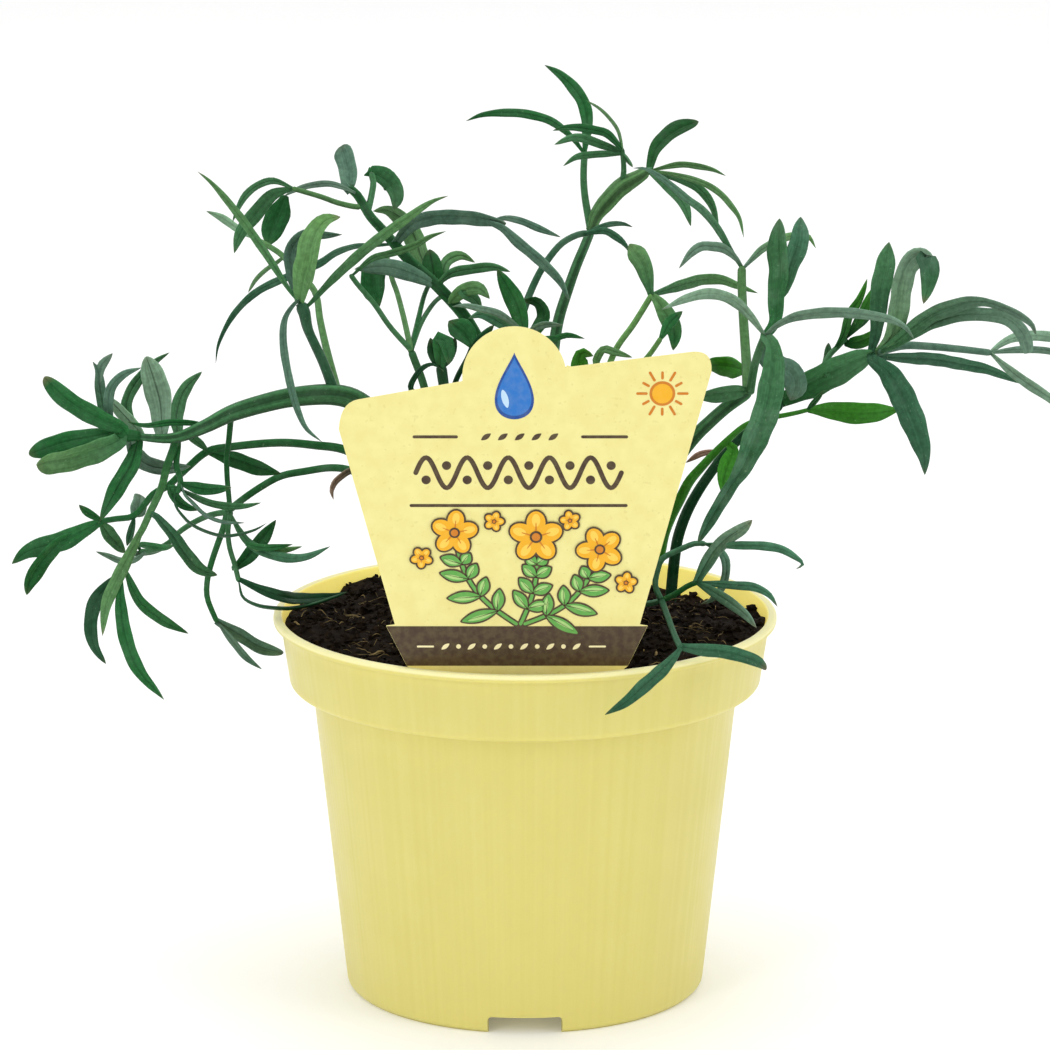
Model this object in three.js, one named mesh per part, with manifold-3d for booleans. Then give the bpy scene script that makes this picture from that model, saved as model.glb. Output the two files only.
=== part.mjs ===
// Rock samphire in a 12 cm plastic herb pot, with a plant label standing behind the front rim.
// Millimetres, +Z up, front towards -Y, origin on the pot's axis at table level.

import * as THREE from 'three';
import { mergeVertices } from 'three/addons/utils/BufferGeometryUtils.js';
import Module from 'manifold-3d';

const wasm = await Module();
wasm.setup();

// Pot, a 12 cm injection-moulded herb pot
const POT_HEIGHT = 91.5;
const LIP_RADIUS = 60;
const LIP_INNER_RADIUS = 57.8;
const LIP_HEIGHT = 1.9;
const COLLAR_TOP_RADIUS = 58.2;
const COLLAR_FOOT_RADIUS = 56.3;
const COLLAR_FOOT_Z = 74.7;
const BODY_TOP_RADIUS = 50.7;
const BODY_FOOT_RADIUS = 42.9;
const WALL = 1.2;
const FOOT_EDGE = 1.2;
const STEP_EDGE = 0.7;
const LIP_EDGE = 0.6;
const FLOOR_EDGE = 0.4;
const FLOOR_Z = 4.1;
const PAD_RADIUS = 15;
const NOTCH_WIDTH = 17.8;
const NOTCH_REACH = 12;
const NOTCH_COUNT = 3;
const DRAIN_COUNT = 8;
const DRAIN_RADIUS = 3.5;
const DRAIN_CIRCLE = 30;
const DRAIN_SIDES = 12;
const POT_SIDES = 40;

// Soil, filled to a few millimetres under the lip
const SOIL_EDGE_Z = 87;
const SOIL_FLARE = 1;
const SOIL_CORNER = 1.3;
const SOIL_RINGS = 4;
const SOIL_SIDES = 24;
const SOIL_MOUNDS = [
  { x: -32, y: 36, spread: 15, rise: 2.6 },
  { x: 4, y: 4, spread: 26, rise: 2 },
  { x: 34, y: 38, spread: 13, rise: -1.4 },
  { x: -54, y: -8, spread: 24, rise: 3.4 },
  { x: 54, y: -14, spread: 24, rise: 3 },
];

// Label card, leaning forward with the pot's wall; its outline is across and above the lip's height
const CARD_LEAN = THREE.MathUtils.degToRad(5);
const CARD_FOOT = { y: -49.5, z: 91 };
const CARD_THICKNESS = 0.5;
const CARD_LEFT = { side: [-42, 57], corner: [-41.6, 63.2], top: [-37.5, 63.9], foot: [-29.7, 10.2] };
const CARD_RIGHT = { side: [41.9, 70.5], corner: [42.2, 75.4], top: [37.7, 75.1], foot: [26.2, 10.2] };
const CARD_BAND = { top: 9.9, left: -31.7, right: 28, foot: 0.3, footLeft: -27.1, footRight: 23.6 };
const CARD_STAKE = { shoulder: -9, left: -15, right: 13, tip: [-1, -24] };
const CARD_SLOT_PLAY = [[-0.5, 0, 0], [0.5, 0, 0], [0, 0, -0.8]];
const TAB = { x: -2.4, up: 69.3, radius: 11.7, joint: 2.5 };
const TAB_START = THREE.MathUtils.degToRad(11);
const TAB_END = THREE.MathUtils.degToRad(185);

// Where the plant stands in the pot and how its parts meet
const GAP = 0.35;
const BURY = 0.8;
const LEAF_THICKNESS = 1;
const NARROW_LEAF = 1.4;
const EDGE_ON_WIDTH = 2.2;
const EDGE_ON_ROLL = 1.35;
const ROLL_STEPS = [0.35, -0.3, 0.15, -0.45, 0.5, -0.1];
const BLADE_SHAPE = { base: 0.35, widest: 0.4, narrows: 0.55, tip: 0.12, edge: 0.5 };
const FORK_REACH = 4;
const STALK_SIDES = 6;
const STEP_LENGTH = 11;

// The plant is laid out as seen from the front: across, up and away, in millimetres at the pot's axis
const VIEW_HEIGHT = 112.6;
const VIEW_DISTANCE = 1200;
const VIEW_TILT = THREE.MathUtils.degToRad(13.33);
const ACROSS = new THREE.Vector3(1, 0, 0);
const UPWARD = new THREE.Vector3(0, Math.sin(VIEW_TILT), Math.cos(VIEW_TILT));
const AWAY = new THREE.Vector3(0, Math.cos(VIEW_TILT), -Math.sin(VIEW_TILT));

const FINISHES = {
  pot_plastic: { color: 0xe5da83, roughness: 0.38 },
  soil_peat: { color: 0x2b1d14, roughness: 0.95 },
  label_card: { color: 0xfbf3a5, roughness: 0.55 },
  crown: { color: 0x6d5a3c, roughness: 0.85 },
  stem: { color: 0x4d7a4e, roughness: 0.6 },
  leaf_dark: { color: 0x2a5a38, roughness: 0.5 },
  leaf_green: { color: 0x4a7a30, roughness: 0.5 },
  leaf_grey: { color: 0x6a9078, roughness: 0.6 },
};

// Each plant part lists stalks as [diameters, away, [across, up] points] and blades as
// [width, away, [across, up] points], from base to tip. Diameters and away are spread evenly along.
const PLANT = {
  crown_left: {
    finish: 'crown', grows_on: [],
    stalks: [[[4, 10, 9, 6], [10, 4.5], [[-16, -41], [-15.5, -30], [-16, -18.5]]]],
    blades: [],
  },
  crown_centre: {
    finish: 'crown', grows_on: [],
    stalks: [[[4, 11, 10, 7], [15.7, 10.4], [[2, -40], [2.5, -29], [2, -17]]]],
    blades: [],
  },
  crown_right: {
    finish: 'crown', grows_on: [],
    stalks: [[[4, 10, 9, 6], [13.7, 8.4], [[22, -40], [21.5, -29], [22, -17.5]]]],
    blades: [],
  },
  stem_left: {
    finish: 'stem', grows_on: ['crown_left'],
    stalks: [[[5.6, 5.4, 5.2, 4.2, 1.4], [5, -2, -8, -14, -22], [[-16.5, -19], [-21, -5], [-27, 10],
      [-33, 23], [-40, 29.5], [-45, 31], [-55, 30.5], [-62, 29], [-70, 26.5], [-76, 23.5], [-83, 20.8],
      [-90, 20.8], [-94, 21.5]]]],
    blades: [
      [3.5, [-20, -12], [[-91, 21.5], [-95, 26], [-99.3, 30.5]]],
      [2.4, [-18, -4], [[-92, 21.5], [-94.8, 27.5], [-94.3, 30.5], [-92, 34.5], [-88, 38.8], [-84.5, 41]]],
      [6.2, [-15, -10, -16], [[-86, 21], [-86.7, 29], [-88, 34], [-90, 40]]],
      [3.4, [-14, 4], [[-83.1, 21], [-82.9, 26], [-81.8, 30.5], [-79.9, 33.5], [-76.8, 36.4]]],
      [1.5, [-14, -24], [[-77, 24], [-84, 24.4], [-90, 23.7], [-94.5, 24.5]]],
      [4.2, [-19, -26], [[-91.5, 21], [-93.5, 14.5], [-96.5, 9.5], [-99.2, 4.5], [-101, 1]]],
      [4, [-21, -4], [[-94, 21], [-92.5, 16.5], [-89, 14], [-84, 13.4], [-79.5, 14]]],
    ],
  },
  stem_arching: {
    finish: 'stem', grows_on: ['crown_centre'],
    stalks: [[[4.4, 3.8, 3, 2.7, 2], [9, 5, 2, 6, 16], [[0, -18], [-4, 0], [-7, 20], [-9, 38],
      [-13.6, 48.3], [-20.1, 55.9], [-28.1, 63.4], [-34, 70.2], [-36.8, 73.3], [-40, 78.5],
      [-41.9, 80.1]]]],
    blades: [
      [2.6, [6, 2, -2], [[-20.8, 57], [-17.7, 59.8], [-12.2, 61], [-7.4, 61.4], [-3.5, 60.2]]],
      [2.6, [8, 16], [[-20.6, 57], [-18.5, 62.6], [-15.4, 64], [-11.9, 62.4]]],
      [4.8, [7, 12], [[-21.5, 57.5], [-22, 61], [-22.7, 65.5]]],
      [5.5, [8, 24, 30], [[-22.5, 58.5], [-25, 64.5], [-26.5, 69], [-29.5, 73], [-33, 74.9],
        [-36, 74.6]]],
    ],
  },
  stem_tall: {
    finish: 'stem', grows_on: ['crown_centre'],
    stalks: [
      [[4.4, 3.6, 3.2, 2.6, 2.2], [11, 8, 9, 12, 18], [[3, -18], [4, 0], [5, 20], [6.9, 42.3],
        [8.1, 49.1], [10.1, 55.5], [12.2, 61.5], [14.2, 66.3], [15.8, 70.3]]],
      [[2.4, 4.2, 4.4, 2.6], [18, 20], [[15.8, 70.3], [17, 73.5], [19.8, 77], [22.9, 80.2],
        [26.9, 82.6], [29.3, 84.2]]],
    ],
    blades: [],
  },
  stem_right: {
    finish: 'stem', grows_on: ['crown_right'],
    stalks: [[[4, 3.6, 3.2, 2.8], [9, 0, -9, -14], [[22.5, -18], [25, -6], [31, 8], [39.9, 20.4],
      [43.9, 24.4], [47.9, 27.9], [51.9, 30.7], [53.5, 31.9]]]],
    blades: [],
  },
  stem_back_right: {
    finish: 'leaf_dark', grows_on: [],
    stalks: [[[2.8, 2.7, 2.6, 2.2, 3], [37, 30, 23, 16, 10], [[34, -27], [34.8, -16], [35.5, -8.7],
      [36.4, -3], [38.5, 3], [41.2, 8], [44.6, 13], [47.6, 17], [51, 20.5], [56, 25], [61, 29.2]]]],
    sheaths: [[7.6, [10, 5], [[60.5, 29], [65, 32], [70, 34.8], [75, 37.4], [80, 39.8], [84, 41.2]]]],
    blades: [],
  },
  leaf_left_tip: {
    finish: 'leaf_dark', grows_on: ['stem_left'],
    stalks: [[[2.4, 3.4, 2.6], [-22, -24], [[-92, 21], [-96, 21.4], [-99, 22]]]],
    blades: [
      [4.3, [-24, -34], [[-95, 22.4], [-100.5, 25], [-108.5, 29.7], [-114.2, 35.2]]],
      [4.6, [-24, -28], [[-98, 21.4], [-105, 20.5], [-110, 19.5], [-117.9, 16.8]]],
      [5.6, [-25, -36], [[-96.4, 20.3], [-100.4, 18.3], [-104.8, 16.8], [-108.9, 15.6], [-113.3, 14.8],
        [-116, 14.2]]],
      [2.4, [-23, -19], [[-98, 23], [-99.8, 26.5], [-101, 32], [-101.5, 36.5], [-102.7, 38.8]]],
      [2.2, [-20, -18], [[-101, 33], [-100.7, 37.5], [-98, 40.8]]],
      [2.4, [-23, -30], [[-98, 22.5], [-99, 27], [-98.5, 32.5], [-95.5, 35.8], [-91.2, 37.4]]],
    ],
  },
  leaf_left_hanging: {
    finish: 'leaf_dark', grows_on: ['stem_left'],
    stalks: [[[2, 1.7, 1.4], [-16, -19, -23], [[-83.4, 18.4], [-85, 14], [-86.3, 9], [-88.1, 4.9],
      [-89.2, 2.7], [-90.8, -0.9], [-93, -4.5], [-95.3, -9], [-96.3, -12]]]],
    blades: [
      [3, [-22, -26], [[-91.5, -2], [-95, -9], [-97.5, -14], [-99.5, -19], [-100.4, -26.3]]],
      [3.7, [-23, -20], [[-96.2, -11.5], [-101.5, -17.5], [-103, -23], [-102.3, -28.5], [-99.6, -33]]],
      [3.2, [-23, -27], [[-95.7, -12], [-96, -20], [-94.7, -27.5], [-91.8, -34.5], [-85.8, -41.5]]],
      [2.8, [-22, -8], [[-95, -11], [-91.5, -18], [-86.5, -22.3], [-80, -25.8]]],
      [3.4, [-20, -8], [[-88.1, 2.4], [-86, 0.2], [-83.8, -2.4], [-81.2, -6.3], [-78.1, -10],
        [-75.7, -11.3], [-73.1, -11.9]]],
    ],
  },
  leaf_left_fan: {
    finish: 'leaf_dark', grows_on: ['stem_left'],
    stalks: [[[1.6, 1.3], [-15, -17], [[-82.5, 18.5], [-82.8, 14], [-81.8, 10.5], [-82.6, 7.5]]]],
    blades: [
      [2.2, [-17, -12], [[-84.4, 9.2], [-82.5, 5.8], [-80.5, 4.3], [-77.6, 3.5]]],
      [1, [-17, -19], [[-83.4, 6.9], [-82.9, 4.3], [-81.3, 2.1], [-79.6, 0.4], [-75.4, -1.7], [-71, -2.6],
        [-64.3, -1.2], [-61.3, 0.5]]],
      [0.9, [-17, -22], [[-82.2, 10.4], [-80.9, 7.3], [-78.9, 5.2], [-76.5, 2.8], [-73.5, 1.2],
        [-70.4, 0.6], [-66.5, 0.5]]],
      [2.6, [-17, -25], [[-81.9, 10], [-76.4, 8.7], [-69.8, 8.9]]],
      [1.8, [-17, -16], [[-82, 8.6], [-75.5, 5.4], [-71, 4.5], [-66.6, 4.5], [-62.7, 5.3]]],
    ],
  },
  leaf_left_long: {
    finish: 'leaf_dark', grows_on: ['crown_left'],
    stalks: [[[3, 2.4, 2, 1.8, 1.4], [4, 2, 4, 6, 8], [[-17.5, -19.5], [-24, -3], [-33, 12], [-42.5, 17.8],
      [-50, 19], [-58, 19.6], [-70, 18.6], [-75.3, 17.6], [-80.9, 13], [-85, 9.2], [-88.1, 7.6],
      [-93, 2.2], [-97.1, 1.5], [-101.1, 0.9]]]],
    blades: [
      [4.8, [8, 12], [[-100, 1], [-104.5, -1.2], [-109.2, -3.6], [-114, -5], [-118.4, -6.4],
        [-121.9, -9.2]]],
      [4, [10, 7], [[-105.6, -2.2], [-109.9, -3.6], [-113.7, -7.3], [-116.4, -11], [-118, -14.1],
        [-118.4, -16.6]]],
      [3.6, [6, 12], [[-75, 17], [-69, 15.7], [-64, 13.9], [-58, 12.2]]],
      [2, [6, -1], [[-75.5, 18], [-78, 20], [-81, 21.5]]],
      [4, [9, 14], [[-92.6, 2.6], [-91.8, 4.6], [-91.3, 7]]],
      [1.7, [7, 15], [[-93, 1.5], [-93.6, -1.4], [-94.6, -5]]],
      [2, [8, 3], [[-100.5, 1], [-104, 3], [-106, 4.8]]],
      [3.4, [8, 18], [[-101, 0.8], [-98.5, -2.8], [-95, -6.6]]],
    ],
  },
  leaf_left_arched: {
    finish: 'leaf_grey', grows_on: ['crown_left'],
    stalks: [
      [[2.4, 2, 1.8, 1.7], [6, 12, 20, 26], [[-18, -20], [-25, -5], [-34, 9], [-41.5, 13], [-46, 13.6],
        [-52, 12.8], [-58, 11.6], [-63, 8.9], [-68, 5.4], [-70.7, 3.1]]],
      [[1.6, 1.3], [26, 30], [[-70.7, 3.1], [-71.7, -0.9], [-73.3, -5.4], [-74.6, -9.4], [-75.5, -13.5],
        [-75.5, -17.1], [-74.2, -20.7], [-73.1, -23.1]]],
      [[1.5, 1.2], [26, 32], [[-70.7, 3.1], [-74.6, 2.4], [-78.7, 0.6], [-82.3, -1.8], [-84.5, -4.1],
        [-88.1, -5.9], [-91.7, -6.3]]],
    ],
    blades: [
      [3, [30, 36], [[-73, -22.5], [-67.5, -26.1], [-63, -28.8], [-57.4, -30.4]]],
      [1.8, [30, 26], [[-73, -23.5], [-69.3, -27.9], [-66.2, -31.5], [-62.5, -34.3]]],
      [1.8, [31, 24], [[-91.8, -4.8], [-88.8, -4.9], [-85.5, -5.3], [-83, -4.6]]],
      [1.5, [31, 38], [[-93, -6.9], [-89.7, -6.5], [-86, -6]]],
      [1.7, [31, 27], [[-89.9, -6.6], [-92.6, -8.3], [-96.2, -8.5], [-98.9, -7.4], [-102, -6.3]]],
      [1.6, [12, 8], [[-41.9, 12.8], [-43.7, 11.6], [-45.3, 10.1], [-46, 8], [-45.5, 6]]],
    ],
  },
  leaf_left_drop: {
    finish: 'leaf_dark', grows_on: ['stem_left'],
    stalks: [
      [[1.5, 1.2], [-10, -4, -2], [[-70, 24.5], [-70.4, 20.2], [-70.9, 16], [-70.8, 11.2], [-70.4, 6.7],
        [-70, 2.7]]],
      [[1.2, 1.2], [-2, -4], [[-70, 2.7], [-70.6, -1.4], [-70.2, -5.4], [-69, -9.4], [-68, -13.5]]],
    ],
    blades: [
      [1.3, [-4, -6, 6, 10], [[-68, -13.5], [-67.1, -17.1], [-63.9, -19], [-58.5, -19.8], [-54.1, -19.6],
        [-49.6, -18.6], [-45, -17], [-42.2, -15.8]]],
      [3, [-4, -6, 8, 14], [[-67.5, -12.6], [-63, -15.3], [-58.5, -16.9], [-54, -17.6], [-49.6, -17.4],
        [-45, -16.8], [-42.2, -15.9]]],
      [3.2, [-3, 6], [[-69.3, -10.5], [-66, -7.5], [-62.3, -3], [-59.2, 1.2]]],
      [2.3, [-2, -8], [[-69.8, 2.6], [-68.4, -0.5], [-66.2, -3.7], [-63.5, -5.7], [-59.9, -7.2],
        [-55.8, -7.9], [-51.8, -7.5], [-46.3, -5.1]]],
      [1.6, [-5, -2], [[-65, -5], [-62, -6.2], [-57, -5.9], [-52.9, -5.1]]],
      [1.6, [-6, -5], [[-66.5, -4.4], [-62.5, -5.4], [-58.5, -5.2], [-55.2, -4.6]]],
    ],
  },
  leaf_high_left: {
    finish: 'leaf_dark', grows_on: ['stem_left'],
    stalks: [[[2.6, 2.3, 2.2, 3.2], [-9, -11, -13], [[-45.5, 32], [-48, 38.8], [-50, 43.1], [-51.6, 46.7],
      [-52.6, 51.1], [-53.6, 52.7]]]],
    blades: [
      [2, [-13, -22], [[-53.8, 52.8], [-56.6, 56.7], [-61.7, 64.6], [-68.1, 73.7], [-74.5, 81.3],
        [-77.8, 84]]],
      [6, [-13, -20, -16], [[-53.5, 52.8], [-53, 57], [-51.5, 63], [-50.3, 68.5], [-47.5, 72.3],
        [-43.9, 73.2]]],
      [3, [-12, -5, -9], [[-53.6, 53], [-55.5, 60], [-55.3, 66], [-52, 69], [-47.5, 69],
        [-43.5, 69]]],
      [2.5, [-13, -22, -28], [[-51.8, 51.9], [-45.8, 58.2], [-37.5, 65.8], [-28.4, 72.6],
        [-22, 76.9], [-18.3, 78.2]]],
      [2, [-14, -23, -24], [[-54, 53.2], [-56.8, 49.5], [-57.4, 44.3], [-55.8, 34], [-53.6, 26.4],
        [-51.8, 22.8], [-48.2, 19.7]]],
    ],
  },
  leaf_high_pale: {
    finish: 'leaf_grey', grows_on: ['stem_left'],
    stalks: [[[2, 1.6, 1.3], [-6, 8, 18], [[-44.6, 32], [-46.8, 40.4], [-48, 45.5], [-48.8, 49.5],
      [-49.4, 53.9], [-50.4, 56.3], [-54.6, 60.6], [-57.8, 64.2], [-61.1, 66.4], [-65, 68.5]]]],
    blades: [
      [2, [18, 24], [[-64, 68], [-68.1, 70.2], [-72.1, 73], [-75.7, 74.6]]],
      [1.3, [16, 12], [[-57.6, 63.6], [-61.7, 60.6], [-64.1, 58.2], [-65.8, 55.2]]],
    ],
  },
  leaf_arch_end: {
    finish: 'leaf_grey', grows_on: ['stem_arching'],
    stalks: [],
    blades: [[4.6, [17, 26], [[-41.9, 80], [-41.9, 83.3], [-42.5, 86.5], [-43.6, 90]]]],
  },
  leaf_arch_folded: {
    finish: 'leaf_dark', grows_on: ['stem_arching'],
    stalks: [],
    blades: [
      [1.5, [14, 32], [[-40.6, 79], [-45.8, 80.9], [-49.8, 80.8], [-53.8, 79.8], [-57.5, 78]]],
      [6, [32, 36], [[-56.6, 78.6], [-58.2, 75], [-59.8, 71], [-61.2, 66.3]]],
    ],
  },
  leaf_arch_bright: {
    finish: 'leaf_green', grows_on: ['stem_arching'],
    stalks: [[[1.4, 1.2], [14, 4], [[-39.2, 75.6], [-44.3, 76.5], [-48.2, 77.9], [-52.2, 79.1],
      [-55.4, 80]]]],
    blades: [
      [1.7, [4, -2], [[-54.6, 80], [-59.8, 81.7], [-63.3, 80.7], [-66.1, 78.5], [-67.9, 75.7],
        [-69.5, 72]]],
      [3.6, [4, 6], [[-56, 80], [-60, 78.5], [-64, 74], [-67.5, 69.5], [-69.1, 64.6]]],
    ],
  },
  leaf_arch_upper: {
    finish: 'leaf_green', grows_on: ['stem_arching'],
    stalks: [[[1.6, 1.5], [14, 20], [[-37.2, 74], [-36.4, 78.5], [-36, 81.6], [-36.6, 83.7]]]],
    blades: [
      [5.2, [20, 26, 22], [[-37.4, 83.9], [-34.5, 82.9], [-32.1, 80.9], [-30.9, 78], [-31.1, 75]]],
    ],
  },
  leaf_arch_long: {
    finish: 'leaf_grey', grows_on: ['stem_arching'],
    stalks: [],
    blades: [
      [2, [10, 24, 34, 38], [[-31, 66.6], [-36.3, 66.4], [-40.3, 66.2], [-45, 64.6], [-48.6, 62.2],
        [-54.8, 59.6], [-62.9, 55.9], [-66.9, 52.7], [-70.1, 48.7], [-72.9, 42.7], [-73.5, 38.4]]],
    ],
  },
  leaf_arch_grey: {
    finish: 'leaf_grey', grows_on: ['stem_arching'],
    stalks: [],
    blades: [[4.2, [5, -3], [[-21.5, 56.6], [-27, 59.6], [-33, 61.3], [-40.5, 60.8]]]],
  },
  leaf_arch_forked: {
    finish: 'leaf_grey', grows_on: ['stem_arching'],
    stalks: [],
    blades: [
      [3.2, [9, -2, -9], [[-31.2, 67], [-26.9, 71.4], [-22.9, 72.9], [-18.5, 73.3], [-13, 73.1],
        [-8.2, 72.4], [-4.5, 71.6]]],
      [1.8, [-8, -10], [[-8, 72.6], [-5, 72.9], [-1, 72.2], [2.9, 70.6], [8.5, 68.4]]],
      [2.6, [-8, -16], [[-8.5, 72], [-5.4, 70.6], [-1.8, 67.4], [2.1, 64.2], [5.7, 61], [8.5, 57.8],
        [10.6, 53.2]]],
    ],
  },
  leaf_arch_wavy: {
    finish: 'leaf_green', grows_on: ['stem_arching'],
    stalks: [],
    blades: [
      [3.4, [3, -3], [[-17.5, 53], [-14.5, 55.8], [-11, 56.2], [-8.4, 53.8]]],
      [3.2, [0, 4], [[-15, 55.2], [-12.4, 53.8], [-10.4, 51.4]]],
    ],
  },
  leaf_centre_left: {
    finish: 'leaf_green', grows_on: ['crown_left'],
    stalks: [
      [[2.4, 2, 1.8], [4, -4, -12], [[-15.5, -18.5], [-17, -2], [-21, 20], [-24.3, 34], [-26.1, 38.8],
        [-27.1, 41.5]]],
      [[1.3, 1.2], [-12, -6], [[-27.1, 41.5], [-32.1, 47.1], [-36, 52.7], [-40, 57.4], [-41.5, 59.5]]],
      [[1.4, 1.2], [-12, 10], [[-27.1, 41.5], [-28.9, 49.5], [-30.5, 55.5], [-31.5, 58.2],
        [-32.9, 64]]],
      [[1.3, 1.1], [-12, 14], [[-27.1, 41.5], [-25.3, 49.1], [-23.9, 54.6], [-22.6, 57.6]]],
      [[1.3, 1.1], [-12, 14], [[-27.1, 41.5], [-24.5, 48.3], [-21.4, 53], [-19.4, 54.6]]],
    ],
    blades: [
      [1.6, [-6, -10], [[-41, 59.3], [-36.3, 63.4], [-32.7, 64.4], [-29.2, 65.4], [-26.1, 66.6],
        [-22.5, 68.6], [-18.8, 69.8]]],
      [6, [10, 4], [[-32.9, 63.8], [-35.4, 62], [-36.2, 57], [-34.7, 51.7]]],
    ],
  },
  leaf_tab_left: {
    finish: 'leaf_dark', grows_on: ['crown_left'],
    stalks: [
      [[2.2, 1.8, 2.6], [5, -10, -22], [[-14.5, -18.5], [-14, 0], [-17, 20], [-19.3, 33], [-20, 38]]],
      [[1.4, 1.2], [-12, -24], [[-18, 26], [-16.5, 34], [-13.5, 40], [-12.5, 42.5]]],
    ],
    blades: [
      [3, [-22, -26], [[-20, 37], [-21.5, 41], [-22.5, 44.5]]],
      [3, [-22, -18], [[-20, 37], [-18, 41], [-16.5, 44.5]]],
      [4, [-23, -34], [[-20, 38], [-19.6, 44], [-18.6, 42], [-18.1, 38.2]]],
      [5, [-24, -20], [[-12, 42], [-14.5, 45.5], [-18.1, 48.5]]],
      [1.4, [-14, -26], [[-27, 32], [-24.9, 36.8], [-22.1, 38.2], [-19.8, 37]]],
      [2, [-24, -30], [[-12.6, 42], [-10, 45], [-7.4, 47.5]]],
    ],
  },
  leaf_tab_front: {
    finish: 'leaf_dark', grows_on: ['crown_centre'],
    stalks: [[[2.4, 2, 1.8, 1.6], [9, -4, -16, -24], [[1, -17.5], [0, 0], [-1, 22], [0, 38], [0, 46]]]],
    blades: [
      [4.4, [-23, -30], [[0, 44], [-2, 52], [-4.5, 57], [-6.6, 60.8]]],
      [3.4, [-24, -18], [[0.5, 44], [4.6, 49.5], [3, 53], [-0.6, 53.4]]],
      [1.5, [-24, -32], [[0.2, 45], [2.1, 46.7], [4.9, 47.7], [8.9, 47.5]]],
      [1.5, [-24, -22], [[0, 44], [6.9, 44.3], [10.1, 45.1], [14.2, 44.3]]],
      [1.8, [-24, -36], [[-0.5, 45.5], [-6, 50], [-10.6, 51.3], [-14.6, 52.1], [-17.3, 51.9]]],
      [2.6, [-24, -28], [[-0.5, 44.5], [-4.6, 47.5], [-10.6, 50.1], [-13.4, 49.1]]],
    ],
  },
  leaf_grey_arch: {
    finish: 'leaf_grey', grows_on: ['crown_centre'],
    stalks: [[[2.2, 2, 1.8, 1.5], [10, 0, -2, 6], [[1.8, -16.5], [-1.5, 5], [-2.5, 28], [-1, 48],
      [2.7, 58.4], [5.8, 63.5], [9, 67.1], [13, 69.1], [15.2, 69.3]]]],
    blades: [
      [1.8, [5, -3], [[14, 69.3], [19, 69.9], [21.3, 68.7], [23.7, 66.7], [24.9, 64.7]]],
      [1.4, [6, 12], [[14, 69.4], [19.8, 71.3], [23.3, 71.5], [25.6, 70.8]]],
    ],
  },
  leaf_tall_tip: {
    finish: 'leaf_dark', grows_on: ['stem_tall'],
    stalks: [[[1.9, 1.7, 1.6], [18, 24], [[15.3, 70], [14.2, 78.2], [13.9, 82.2], [14, 86.2],
      [14.2, 88.6]]]],
    blades: [
      [3, [24, 36], [[14.2, 88], [14.8, 96.1], [13.8, 100.5], [11.4, 104.1], [8.2, 107.2],
        [4.7, 109.3]]],
      [2.2, [24, 14], [[14.2, 88], [11.8, 91.3], [9.4, 93.7], [5.8, 96.1], [1.9, 97.3], [-2.1, 97.9],
        [-10, 97.5], [-14, 96]]],
    ],
  },
  leaf_tall_small: {
    finish: 'leaf_green', grows_on: ['stem_tall'],
    stalks: [[[1.5, 1.3, 1.1], [19, 16], [[23, 80], [23.5, 84], [23.1, 89.5]]]],
    blades: [
      [0.8, [15, 11], [[23.2, 89], [22.1, 93.7], [20.2, 96.5], [17.8, 98.9], [14.6, 100.9]]],
      [2, [15, 4], [[23.2, 89], [19.4, 92.9], [16.6, 93.7], [13, 94.3], [9.4, 94.3], [6.6, 93.7]]],
      [1.8, [16, 8], [[23.2, 88], [18.6, 88.2], [15.8, 88], [12.2, 87.4], [9.1, 85.3]]],
      [2.4, [16, 12], [[23, 88.6], [19, 90], [12, 92], [7, 90.4]]],
      [0.9, [16, 18], [[23.1, 88.4], [24.3, 86.9], [25.6, 85]]],
    ],
  },
  leaf_tall_right: {
    finish: 'leaf_dark', grows_on: ['stem_tall'],
    stalks: [[[2, 1.6], [20, 20], [[28.5, 83.8], [30.4, 84.6]]]],
    blades: [
      [4.4, [20, 32], [[29.2, 84.8], [31, 89], [33.6, 92.1], [37, 94.4], [41.2, 95.9]]],
      [1.4, [20, 12], [[29.5, 84.6], [36.9, 85.7], [41, 85.3], [44.6, 84.5], [47.7, 83]]],
      [1.6, [20, 2], [[29.5, 84.3], [36.5, 83], [43, 80.9], [46.6, 78.5], [49, 75.8], [50.9, 73],
        [52, 68.3]]],
      [2.4, [20, 26], [[29.5, 84.2], [38, 82], [42, 79.5], [44.5, 76], [45.7, 71.5], [46, 70.2]]],
      [2.6, [20, 14], [[29.4, 83.8], [35, 79.5], [37.8, 76], [39.4, 71]]],
    ],
  },
  leaf_front_bright: {
    finish: 'leaf_green', grows_on: ['crown_right'],
    stalks: [
      [[2.2, 1.8, 1.5, 1.4], [8, -6, -20, -18], [[21, -17.5], [17, 0], [17, 25], [21.1, 40.8],
        [25.9, 47.9], [30.1, 54.7]]],
      [[1.4, 1.2], [-14, -26], [[17, 22], [22, 32], [29.5, 40.4], [32.3, 44.4]]],
    ],
    blades: [
      [4.5, [-18, -13], [[30.1, 54.5], [29.1, 58.7], [27.9, 62.2], [24.8, 66.8]]],
      [2.8, [-18, -2, 6], [[30.1, 54.7], [38.6, 57.5], [43, 58.5], [47, 58.3], [50.1, 57.1],
        [55.3, 55.1]]],
      [4, [-18, -22], [[30.1, 54.7], [31.9, 52.7], [33.8, 49.5], [35.4, 45.9], [35.2, 41.5]]],
      [2.6, [-26, -22], [[32, 44], [34.2, 47.9], [37.4, 50.8]]],
      [2, [-19, -27], [[17, 38], [18.7, 41.6], [21.1, 41], [25.5, 39.8]]],
      [4, [-16, -20], [[15.5, 32], [12.8, 37], [13.6, 41], [16.2, 40.2]]],
    ],
  },
  leaf_right_upright: {
    finish: 'leaf_grey', grows_on: ['stem_right'],
    stalks: [[[2.4, 2.2, 2], [-14, -10, -8], [[53, 31.2], [52.6, 38.3], [52.2, 44.2], [51.7, 52.3],
      [51.5, 57.9], [51.5, 61.5]]]],
    blades: [
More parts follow.
